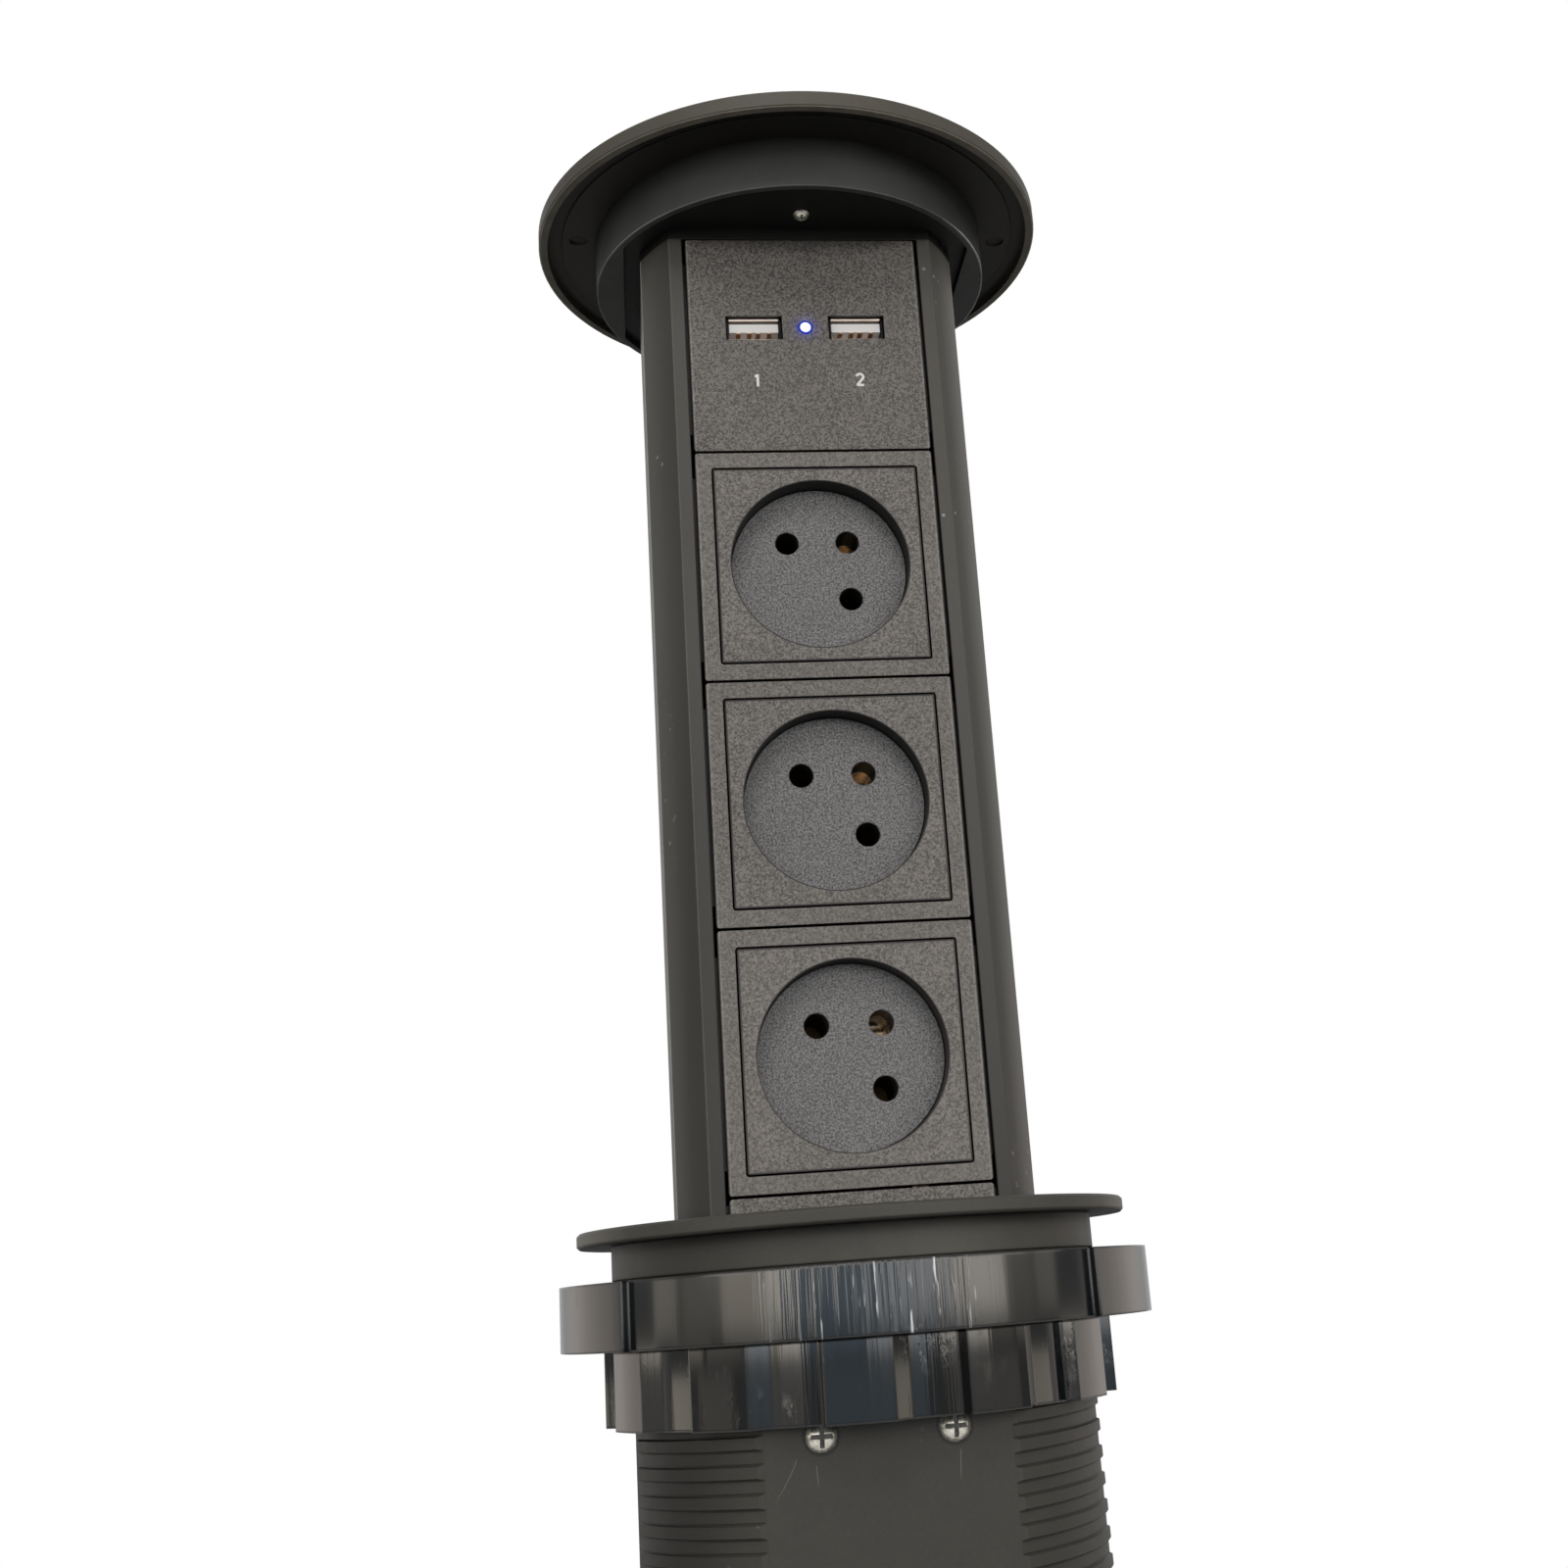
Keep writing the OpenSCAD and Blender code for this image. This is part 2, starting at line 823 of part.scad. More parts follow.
// Earth busbar behind the cores.
module earth_busbar() {
    color([0.8, 0.62, 0.3])
        sleeved("earth") {
            bar_strip(earth_bar_x, bar_thin);
            bar_tabs(pin_at - bar_w / 2, earth_bar_x, pin_at);
        }
}

// Insulating cover over the busbars.
module busbar_cover() {
    cover_bottom = terminal_z - run_out;
    color([0.2, 0.2, 0.2])
        translate([-core_size / 2, cover_y, cover_bottom])
            cube([core_size, cover_t, bar_top + bar_reach - cover_bottom]);
}

// Terminal block in front of the busbars' lower ends.
module terminal_block() {
    color([0.85, 0.84, 0.8])
        difference() {
            translate([-core_size / 2, bar_y - gap - terminal_t, terminal_z])
                cube([core_size, terminal_t, terminal_h]);
            for (x = [-pin_at, 0, earth_bar_x])
                rod(
                    x, terminal_z + terminal_h / 2,
                    bar_y - gap - terminal_t - run_out, bar_y,
                    screw_r + screw_slack
                );
        }
}

// Clamping screws of the terminal block.
module terminal_screws() {
    color([0.75, 0.75, 0.76])
        for (x = [-pin_at, 0, earth_bar_x])
            translate([x, bar_y - gap - terminal_t, terminal_z + terminal_h / 2])
                rotate([90, 0, 0])
                    pan_screw(screw_head_r, screw_head_h, screw_r, terminal_t - run_out);
}

// Desk flange with its collar, inner web and the spigot that goes into the housing.
module flange() {
    edge = 0.5;
    color([0.2, 0.2, 0.2])
        difference() {
            union() {
                rotate_extrude()
                    polygon([
                        [flange_bore, flange_t],
                        [flange_r - edge, flange_t],
                        [flange_r, flange_t - edge],
                        [flange_r, edge],
                        [flange_r - edge, 0],
                        [collar_r, 0],
                        [collar_r, -collar_land],
                        [collar_r - collar_relief, -collar_land],
                        [collar_r - collar_relief, collar_bottom],
                        [web_in_r, collar_bottom],
                        [web_in_r, web_top],
                        [flange_bore, web_top]
                    ]);
                translate([0, 0, bush_bottom])
                    linear_extrude(height = collar_bottom - bush_bottom + join)
                        difference() {
                            flatted(spigot_r, spigot_flat);
                            flatted(spigot_r - spigot_wall, spigot_flat - spigot_wall);
                        }
            }
            at_flat(screw_z)
                translate([0, 0, -screw_len])
                    cylinder(r = screw_r + screw_slack, h = screw_len + run_out);
        }
}

// Guide bush that the tower slides in, with a window for each brake pad.
module guide_bush() {
    color([0.12, 0.12, 0.12])
        difference() {
            translate([0, 0, bush_bottom])
                linear_extrude(height = guide_len)
                    difference() {
                        flatted(bush_r, bush_flat);
                        tower_section(gap);
                    }
            for (sx = [-1, 1])
                translate([sx * bush_r, 0, pad_z])
                    cube([2 * (bush_r - tower_side), pad_w + 2 * gap, pad_h + 2 * gap], center = true);
            at_flat(screw_z)
                translate([0, 0, -screw_len - gap])
                    cylinder(r = screw_r + thread_line, h = screw_len + run_out);
        }
}

// Brake pads that hold the tower's side flats.
module brake_pads() {
    color([0.1, 0.1, 0.1])
        for (sx = [-1, 1])
            translate([sx * (pad_x + pad_t / 2), 0, pad_z])
                cube([pad_t, pad_w, pad_h], center = true);
}

// Bowed leaf springs behind the brake pads.
module brake_springs() {
    bow_x = pad_x + pad_t + pad_line;
    color([0.7, 0.7, 0.72])
        for (turn = [0, 180])
            rotate([0, 0, turn])
                intersection() {
                    translate([bow_x + spring_r, spring_w / 2, pad_z])
                        rotate([90, 0, 0])
                            difference() {
                                cylinder(r = spring_r, h = spring_w);
                                translate([0, 0, -run_out])
                                    cylinder(r = spring_r - spring_t, h = spring_w + 2 * run_out);
                            }
                    translate([bow_x - run_out, -spring_w, pad_z - spring_half])
                        cube([spring_rise + run_out, 2 * spring_w, 2 * spring_half]);
                }
}

// One arc of the right-hand thread about an angle, leaning with the helix.
module thread_rib(mid, sector, z) {
    rib_w = thread_pitch / 2;
    rib_lean = 0.25;
    helix = atan(thread_pitch / (2 * PI * crest_r));
    rotate([0, 0, mid])
        translate([0, 0, z + thread_pitch * (mid / 360 - 1)])
            rotate([helix, 0, 0])
                rotate([0, 0, -sector / 2])
                    rotate_extrude(angle = sector)
                        polygon([
                            [root_r - join, -rib_w / 2 - rib_lean],
                            [crest_r, -rib_w / 2 + rib_lean],
                            [crest_r, rib_w / 2 - rib_lean],
                            [root_r - join, rib_w / 2 + rib_lean]
                        ]);
}

// Thread ribs on the housing's round parts, trimmed just behind the front flat.
module thread_ribs() {
    end_slack = 0.6;
    rib_trim = 0.05;
    front_edge = acos(housing_flat / root_r) - end_slack;
    side_edge = acos(housing_side / crest_r);
    front_sector = 90 - front_edge - side_edge - end_slack;
    front_mid = (90 - front_edge + side_edge) / 2;
    back_sector = 180 - 2 * side_edge - end_slack;
    thread_top = housing_top - thread_start;
    difference() {
        for (turn = [0 : thread_turns - 1]) {
            thread_rib(90, back_sector, thread_top - thread_pitch * turn);
            thread_rib(180 + front_mid, front_sector, thread_top - thread_pitch * turn);
            thread_rib(360 - front_mid, front_sector, thread_top - thread_pitch * turn);
        }
        translate([-crest_r, -crest_r - run_out, housing_bottom])
            cube([2 * crest_r, crest_r + run_out - housing_flat + rib_trim, housing_top - housing_bottom]);
    }
}

// Housing tube with a front flat, two side flats and a helical thread on its round parts.
module housing() {
    color([0.2, 0.2, 0.2])
        difference() {
            union() {
                translate([0, 0, housing_bottom])
                    linear_extrude(height = housing_top - housing_bottom)
                        difference() {
                            housing_outline();
                            flatted(housing_in_r, housing_in_flat);
                        }
                thread_ribs();
            }
            at_flat(screw_z)
                translate([0, 0, -screw_len])
                    cylinder(r = screw_r + screw_slack, h = screw_len + run_out);
            at_flat(cap_screw_z)
                translate([0, 0, -screw_len])
                    cylinder(r = screw_r + screw_slack, h = screw_len + run_out);
        }
}

// Screws through housing and spigot into the guide bush.
module housing_screws() {
    color([0.8, 0.8, 0.8])
        at_flat(screw_z)
            pan_screw(screw_head_r, screw_head_h, screw_r, screw_len);
}

// Cap that closes the housing's lower end, with a hole for the cord gland.
module end_cap() {
    rim_wall = 6;
    color([0.17, 0.17, 0.17])
        difference() {
            union() {
                translate([0, 0, cap_under])
                    linear_extrude(height = cap_t)
                        housing_outline();
                translate([0, 0, housing_bottom - join])
                    linear_extrude(height = cap_spigot + join)
                        difference() {
                            flatted(housing_in_r - gap, housing_in_flat - gap);
                            flatted(housing_in_r - gap - rim_wall, housing_in_flat - gap - rim_wall);
                        }
            }
            translate([0, 0, cap_under - run_out])
                cylinder(r = gland_r + thread_line, h = cap_t + 2 * run_out);
            at_flat(cap_screw_z)
                translate([0, 0, -screw_len])
                    cylinder(r = screw_r + thread_line, h = screw_len + run_out);
        }
}

// Screws that hold the end cap.
module end_cap_screws() {
    color([0.8, 0.8, 0.8])
        at_flat(cap_screw_z)
            pan_screw(screw_head_r, screw_head_h, screw_r, screw_len - gap);
}

// Body of the cord gland with a hexagon outside the end cap.
module gland_body() {
    color([0.13, 0.13, 0.13])
        difference() {
            union() {
                translate([0, 0, cap_under - gland_flange_t])
                    cylinder(r = gland_hex, h = gland_flange_t, $fn = 6);
                translate([0, 0, cap_under - join])
                    cylinder(r = gland_r, h = cap_t + locknut_t + run_out + join);
            }
            translate([0, 0, cap_under - gland_flange_t - run_out])
                cylinder(r = gland_bore, h = gland_flange_t + cap_t + locknut_t + 3 * run_out);
        }
}

// Locknut of the cord gland inside the end cap.
module gland_locknut() {
    color([0.13, 0.13, 0.13])
        translate([0, 0, housing_bottom])
            difference() {
                cylinder(r = gland_hex, h = locknut_t, $fn = 6);
                translate([0, 0, -run_out])
                    cylinder(r = gland_r + thread_line, h = locknut_t + 2 * run_out);
            }
}

// Cap of the cord gland with the cord bore.
module gland_cap() {
    cap_r = gland_r + 2.2;
    nose = 3;
    top_z = cap_under - gland_flange_t;
    color([0.13, 0.13, 0.13])
        rotate_extrude()
            polygon([
                [cord_r, top_z],
                [cap_r, top_z],
                [cap_r, top_z - gland_cap_h + nose],
                [cap_r - nose, top_z - gland_cap_h],
                [cord_r, top_z - gland_cap_h]
            ]);
}

// Clamp ring with two thicker side lobes, drawn up under the desk.
module clamp_ring() {
    wedge = lobe_r + run_out;
    color([0.12, 0.12, 0.12])
        translate([0, 0, clamp_bottom])
            rotate([0, 0, clamp_turn])
                linear_extrude(height = clamp_h)
                    difference() {
                        union() {
                            circle(r = clamp_r);
                            intersection() {
                                circle(r = lobe_r);
                                for (sx = [-1, 1])
                                    polygon([
                                        [0, 0],
                                        [sx * wedge, wedge * tan(lobe_half)],
                                        [sx * wedge, -wedge * tan(lobe_half)]
                                    ]);
                            }
                        }
                        circle(r = clamp_bore);
                    }
}

// Ring nut with grip ribs, steep on one side and sloped on the other.
module ring_nut() {
    root = nut_r - join;
    tip = grip_r + run_out;
    color([0.12, 0.12, 0.12])
        translate([0, 0, nut_bottom])
            linear_extrude(height = nut_h)
                difference() {
                    union() {
                        circle(r = nut_r);
                        intersection() {
                            circle(r = grip_r);
                            for (i = [0 : grip_count - 1])
                                rotate([0, 0, grip_turn + i * 360 / grip_count])
                                    polygon([
                                        [root * cos(grip_steep), -root * sin(grip_steep)],
                                        [tip * cos(grip_top_half), -tip * sin(grip_top_half)],
                                        [tip * cos(grip_top_half), tip * sin(grip_top_half)],
                                        [root * cos(grip_slope), root * sin(grip_slope)]
                                    ]);
                        }
                    }
                    circle(r = nut_bore);
                }
}

lid();
lid_base();
lid_screws();
tower_screws();
tower_profile();
tower_top_plate();
tower_end_plug();
end_plug_screws();
filler_strip();
usb_faceplate();
usb_shells();
usb_tongues();
usb_contacts();
lamp_lens();
usb_board();
usb_transformer();
usb_capacitors();
socket_frame(2);  // socket_frame_1
socket_frame(1);  // socket_frame_2
socket_frame(0);  // socket_frame_3
socket_insert(2);  // socket_insert_1
socket_insert(1);  // socket_insert_2
socket_insert(0);  // socket_insert_3
socket_core(2);  // socket_core_1
socket_core(1);  // socket_core_2
socket_core(0);  // socket_core_3
live_busbar();
neutral_busbar();
earth_busbar();
busbar_cover();
terminal_block();
terminal_screws();
flange();
guide_bush();
brake_pads();
brake_springs();
housing();
housing_screws();
end_cap();
end_cap_screws();
gland_body();
gland_locknut();
gland_cap();
clamp_ring();
ring_nut();
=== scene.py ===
import math

import bpy
import numpy as np
from mathutils import Matrix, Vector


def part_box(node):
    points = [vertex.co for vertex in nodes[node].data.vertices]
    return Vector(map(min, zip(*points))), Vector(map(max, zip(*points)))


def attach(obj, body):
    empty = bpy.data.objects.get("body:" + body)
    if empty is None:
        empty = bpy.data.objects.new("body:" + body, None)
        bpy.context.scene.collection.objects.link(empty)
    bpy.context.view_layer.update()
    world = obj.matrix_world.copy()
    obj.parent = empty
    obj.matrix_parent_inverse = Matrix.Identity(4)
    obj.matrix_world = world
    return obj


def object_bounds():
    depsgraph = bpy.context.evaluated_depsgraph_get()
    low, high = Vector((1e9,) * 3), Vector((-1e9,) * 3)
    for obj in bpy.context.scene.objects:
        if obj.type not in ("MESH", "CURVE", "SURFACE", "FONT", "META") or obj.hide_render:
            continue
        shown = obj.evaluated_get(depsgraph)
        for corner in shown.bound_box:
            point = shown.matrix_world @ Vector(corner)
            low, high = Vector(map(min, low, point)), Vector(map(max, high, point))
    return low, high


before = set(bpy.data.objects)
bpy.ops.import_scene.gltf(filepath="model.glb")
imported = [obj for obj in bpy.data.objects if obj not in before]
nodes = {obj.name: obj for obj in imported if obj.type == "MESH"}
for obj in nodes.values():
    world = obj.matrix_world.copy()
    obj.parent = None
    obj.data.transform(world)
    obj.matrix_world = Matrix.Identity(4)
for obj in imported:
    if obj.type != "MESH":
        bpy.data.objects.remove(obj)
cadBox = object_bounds()
print("frame loaded,", len(nodes), "nodes")

mm = 0.001


def inMm(corner):
    return corner / mm


class Wire:
    # one node socket; the operators add Math nodes to its tree
    def __init__(self, tree, socket=None):
        self.tree = tree
        self.socket = socket

    def feed(self, target, value):
        if isinstance(value, Wire):
            self.tree.links.new(value.socket, target)
        else:
            target.default_value = value

    def put(self, kind, settings=None, inputs=None, out=0):
        # any node: its settings first, then its sockets
        made = self.tree.nodes.new(kind)
        for name, value in (settings or {}).items():
            setattr(made, name, value)
        for name, value in (inputs or {}).items():
            self.feed(made.inputs[name], value)
        return Wire(self.tree, made.outputs[out])

    def maths(self, operation, a, b=0.0):
        return self.put("ShaderNodeMath", {"operation": operation}, {0: a, 1: b})

    def __add__(self, other):
        return self.maths("ADD", self, other)

    __radd__ = __add__

    def __sub__(self, other):
        return self.maths("SUBTRACT", self, other)

    def __rsub__(self, other):
        return self.maths("SUBTRACT", other, self)

    def __neg__(self):
        return self.maths("SUBTRACT", 0.0, self)

    def __mul__(self, other):
        return self.maths("MULTIPLY", self, other)

    __rmul__ = __mul__

    def __truediv__(self, other):
        return self.maths("DIVIDE", self, other)

    def __rtruediv__(self, other):
        return self.maths("DIVIDE", other, self)

    def __pow__(self, other):
        return self.maths("POWER", self, other)

    def __rpow__(self, other):
        return self.maths("POWER", other, self)

    def __abs__(self):
        return self.maths("ABSOLUTE", self)

    def lesser(self, other):
        return self.maths("MINIMUM", self, other)

    def greater(self, other):
        return self.maths("MAXIMUM", self, other)

    def fraction(self):
        return self.maths("FRACT", self)

    def clip(self, low=0.0, high=1.0):
        return self.greater(low).lesser(high)

    def rise(self, low, high):
        # 0 below low, 1 above high, straight between
        return ((self - low) / (high - low)).clip()

    def fall(self, low, high):
        # 1 below low, 0 above high, straight between
        return 1.0 - self.rise(low, high)

    def places(self):
        return self.put("ShaderNodeTexCoord", out="Object")

    def parts(self, scale=1.0):
        # X, Y and Z of a vector, each times the scale
        sized = self.put("ShaderNodeVectorMath", {"operation": "SCALE"}, {0: self, "Scale": scale})
        split = self.put("ShaderNodeSeparateXYZ", None, {0: sized}).socket.node
        return [Wire(self.tree, socket) for socket in split.outputs]

    def stretched(self, scale):
        return self.put("ShaderNodeMapping", None, {"Vector": self, "Scale": scale})

    def noise(self, scale, detail=2.0, roughness=0.5):
        return self.put("ShaderNodeTexNoise", None, {
            "Vector": self, "Scale": scale, "Detail": detail, "Roughness": roughness})

    def cells(self, scale):
        inputs = {"Vector": self, "Scale": scale}
        return self.put("ShaderNodeTexVoronoi", {"feature": "F1"}, inputs, "Distance")

    def blend(self, first, second):
        # colour blend by this value: first at 0, second at 1
        return self.put("ShaderNodeMix", {"data_type": "RGBA", "blend_type": "MIX", "clamp_factor": True},
                        {0: self, 6: first, 7: second}, 2)

    def bump(self, height, normal):
        return self.put("ShaderNodeBump", None, {
            "Height": self, "Distance": height, "Strength": 1.0, "Normal": normal})


def hypotenuse(a, b):
    return (a * a + b * b) ** 0.5


def grey(value, warm=0.0, olive=0.0):
    # a linear grey, pushed to red and away from blue by warm, and to green by olive
    return (value * (1 + warm), value * (1 + olive), value * (1 - warm), 1.0)


def startMaterial(name, fixed):
    made = bpy.data.materials.new(name)
    made.use_nodes = True
    shader = made.node_tree.nodes["Principled BSDF"]
    for socketName, value in fixed.items():
        shader.inputs[socketName].default_value = value
    return made, Wire(made.node_tree), shader


def softEdge(wire, radius):
    # normals turned over the node's own edges, as if these were rounded
    return wire.put("ShaderNodeBevel", {"samples": 6}, {"Radius": radius})


def addObject(name, data):
    made = bpy.data.objects.new(name, data)
    bpy.context.scene.collection.objects.link(made)
    return made


def addMesh(name, points, faces):
    mesh = bpy.data.meshes.new(name)
    mesh.from_pydata(points.tolist(), [], faces)
    return addObject(name, mesh)


def dress(made, *names):
    for name in names:
        piece = nodes[name]
        if not piece.data.materials:
            piece.data.materials.append(made)
        for held in piece.material_slots:
            held.material = made


# what a moulded piece has unless its own dictionary says otherwise; scales are per metre, lengths in mm
plainPlastic = {
    "grain": 0.5, "grainScale": 1600, "grainNoise": (2.0, 0.65),
    "broad": 0.6, "broadScale": 260, "broadNoise": (3.0, 0.55),
    "cloud": 0.5, "cloudScale": 60, "cloudNoise": (2.0, 0.5),
    "warm": 0.03, "olive": 0.0, "shine": 0.4, "roughSpread": 0.12, "bump": 0.008, "edge": 0.2,
    "shadeTone": 0.12, "wearAndLightBroad": 1.2, "wearAndLightLeast": 0.3,
    "dust": 0.0, "dustSize": 0.16, "dustSoft": 0.06, "dustTone": 0.4,
    "dustPatch": (0.58, 0.66), "dustPatches": 9,
}


def mouldedPlastic(name, chosen):
    # three noises move the tone; the broad one also moves the gloss, and the fine one lifts the surface.
    # dust, a painted dark shade, pale scratches and painted light, and a painted glow
    # come on top where the piece's dictionary has them
    look = {**plainPlastic, **chosen}
    made, wire, shader = startMaterial(name, {"Specular IOR Level": look["shine"]})
    place = wire.places()
    spot = place.parts(1 / mm)
    kinds = ("grain", "broad", "cloud")
    fine, broad, cloud = (place.noise(look[kind + "Scale"], *look[kind + "Noise"]) for kind in kinds)
    tone = 0.5 + (fine - 0.5) * look["grain"] + (broad - 0.5) * look["broad"]
    tone = tone + (cloud - 0.5) * look["cloud"]
    tint = look["warm"], look["olive"]
    body = tone.clip().blend(grey(look["dark"], *tint), grey(look["pale"], *tint))
    if look["dust"]:
        patches = place.noise(look["dustScale"] / look["dustPatches"]).rise(*look["dustPatch"])
        specks = (look["dustSize"] - place.cells(look["dustScale"])).rise(0.0, look["dustSoft"]) * patches
        body = (specks * look["dust"]).blend(body, grey(look["dustTone"]))
    if "shade" in look:
        shaded = look["shade"](look, *spot) * look["shadeDepth"]
        body = shaded.blend(body, grey(look["dark"] * look["shadeTone"], *tint))
    if "wearAndPaintedLight" in look:
        patchy = (broad * look["wearAndLightBroad"] + look["wearAndLightLeast"]).clip()
        body = (look["wearAndPaintedLight"](look, *spot) * patchy).blend(body, grey(look["wornAndLit"], *tint))
    if "glow" in look:
        wire.feed(shader.inputs["Emission Color"], look["glow"](look, *spot))
        shader.inputs["Emission Strength"].default_value = look["glowStrength"]
    wire.feed(shader.inputs["Base Color"], body)
    wire.feed(shader.inputs["Roughness"], look["rough"] + (broad - 0.5) * look["roughSpread"])
    wire.feed(shader.inputs["Normal"], fine.bump(look["bump"] * mm, softEdge(wire, look["edge"] * mm)))
    return made


# lid and its boss: near-black fine matte cover. In every dictionary a pair is the span in mm, from some
# edge or middle, over which a mask rises or falls, and a share is how much that mask counts
lidLow, lidHigh = map(inMm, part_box("lid"))
bossLow, bossHigh = map(inMm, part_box("lid_base"))
coverGrain = {"grain": 0.5, "grainScale": 1500, "broad": 0.5, "broadScale": 160, "cloud": 0.6,
              "cloudScale": 22, "roughSpread": 0.1, "bump": 0.012, "edge": 0.3}


def underLid(look, x, y, z):
    # painted shade on the lid's hollow underside, darkest along its lip and less dark at both ends
    fromRim = hypotenuse(x, y) - lidHigh.x
    below = (z - lidHigh.z).fall(*look["skin"])
    ends = abs(x).rise(*look["ends"]) * look["endShare"]
    depth = fromRim.rise(*look["deep"]) * look["deepShare"] + look["under"] - ends
    return fromRim.fall(*look["hollow"]) * below * depth


def lipFace(look, x, y, z):
    # painted highlight on the lip's lower face, paler than the rest,
    # and painted light on a little of the underside toward both ends
    fromRim = hypotenuse(x, y) - lidHigh.x
    lip = fromRim.rise(*look["lip"]) * (z - lidLow.z).fall(*look["lipTall"])
    inside = (z - lidHigh.z).fall(*look["skin"]) * fromRim.fall(*look["inside"])
    return (lip + inside * abs(x - look["paleMiddle"]).rise(*look["paleEnds"]) * look["paleShare"]).clip()


lidLook = {
    **coverGrain, "dark": 0.028, "pale": 0.052, "rough": 0.5, "warm": 0.13, "olive": 0.05, "shine": 0.2,
    "shade": underLid, "shadeDepth": 0.98, "under": 0.945, "skin": (-0.8, -0.4), "hollow": (-2.2, -2.1),
    "deep": (-10, -4), "deepShare": 0.05, "ends": (20, 50), "endShare": 0.10,
    "wearAndPaintedLight": lipFace, "wornAndLit": 0.21, "lip": (-2.1, -2.0), "lipTall": (0.05, 0.2), "inside": (-4, -3),
    "paleMiddle": 4, "paleEnds": (34, 52), "paleShare": 0.05,
}
dress(mouldedPlastic("lidBlack", lidLook), "lid")


def inPocket(look, x, y, z):
    # painted shade: the pocket just over the boss's lower edge, the wall's upper part in the lid's shade, and
    # its right side
    inside = hypotenuse(x, y).fall(*look["pocket"])
    over = z - bossLow.z
    right = x.rise(*look["right"]) * (1.0 - inside) * over.rise(*look["foot"]) * look["rightShare"]
    upper = over.rise(look["upperFrom"], bossHigh.z - bossLow.z) * look["upperShare"]
    return (inside * over.rise(*look["foot"]) + upper + right).clip()


def bossLine(look, x, y, z):
    # painted light on the boss's lower face, and a bright painted highlight line on its outer edge at both
    # sides
    over = z - bossLow.z
    line = (hypotenuse(x, y) - bossHigh.x).rise(*look["line"]) * over.fall(*look["lineTall"])
    left = (-x).rise(*look["lineLeft"]) * look["leftShare"]
    ends = left + x.rise(*look["lineRight"]) * look["brightShare"]
    return (line * (ends + look["lineLeast"]) + over.fall(*look["face"]) * look["faceShare"]).clip()


bossLook = {
    **coverGrain, "dark": 0.018, "pale": 0.037, "rough": 0.48, "warm": -0.02, "olive": 0.06, "shine": 0.22,
    "shade": inPocket, "shadeDepth": 0.97, "pocket": (45.1, 45.4), "foot": (0.05, 0.4), "right": (10, 42),
    "rightShare": 0.6, "upperFrom": 1.0, "upperShare": 0.9,
    "wearAndPaintedLight": bossLine, "wornAndLit": 0.45, "line": (-0.45, -0.3), "lineTall": (0.15, 0.3), "lineLeft": (20, 46),
    "leftShare": 0.32, "lineRight": (32, 40), "brightShare": 0.975, "lineLeast": 0.06,
    "face": (0.02, 0.08), "faceShare": 0.11,
}
dress(mouldedPlastic("bossBlack", bossLook), "lid_base")

# tower: matte anodised extrusion with a few specks of dust
faceLow, faceHigh = map(inMm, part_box("usb_faceplate"))  # its front is the face that carries the ports
towerHigh = inMm(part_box("tower_profile")[1])
sideY = (towerHigh.y ** 2 - towerHigh.x ** 2) ** 0.5  # where the round meets the side flats


def onFlank(look, x, y):
    # the round flanks between rails and side flats: 0 at the rail, 1 at the flat, and where they are
    out = (abs(x) - look["railOut"]) / (towerHigh.x - look["railOut"])
    return out, out.rise(*look["flank"]) * (-y - sideY).rise(*look["flankBack"])


def towerFoot(look, x, y, z):
    # painted shade: darker toward the flange, on the left rail and on both flanks next to the rails,
    # and nearly black in the slots between rails and modules
    out, flank = onFlank(look, x, y)
    left = (-x).rise(*look["halves"])
    fromRail = abs(abs(x) - look["railOut"] + look["railWide"] / 2) - look["railWide"] / 2
    rail = fromRail.fall(*look["railSoft"]) * left * look["railShare"]
    inner = out.fall(*look["inner"]) * flank * (left * look["innerLeft"] + look["innerShare"])
    slot = (abs(x) - look["railOut"] + look["railWide"]).fall(*look["slot"])
    slot = slot * (y - faceLow.y).fall(*look["slotDeep"])
    return ((z.fall(*look["foot"]) + rail + inner).clip() * look["sideShare"] + slot).clip()


def railEdge(look, x, y, z):
    # painted highlights in thin pale lines on the left rail's corner and the side flats' front corners,
    # and painted light making the outer flanks paler
    out, flank = onFlank(look, x, y)
    right = x.rise(*look["halves"])
    left = 1.0 - right
    corner = abs(abs(x) - look["railOut"]).fall(*look["corner"]) * (y - faceLow.y).fall(*look["cornerDeep"])
    side = (abs(x) - towerHigh.x).rise(*look["sideLine"]) * (y + sideY).fall(*look["sideDeep"])
    paleRight = out.rise(*look["paleRight"]) * right * look["rightShare"]
    paleLeft = out.rise(*look["paleLeft"]) * left * look["leftShare"]
    return (corner * left * look["cornerShare"] + side + (paleRight + paleLeft) * flank).clip()


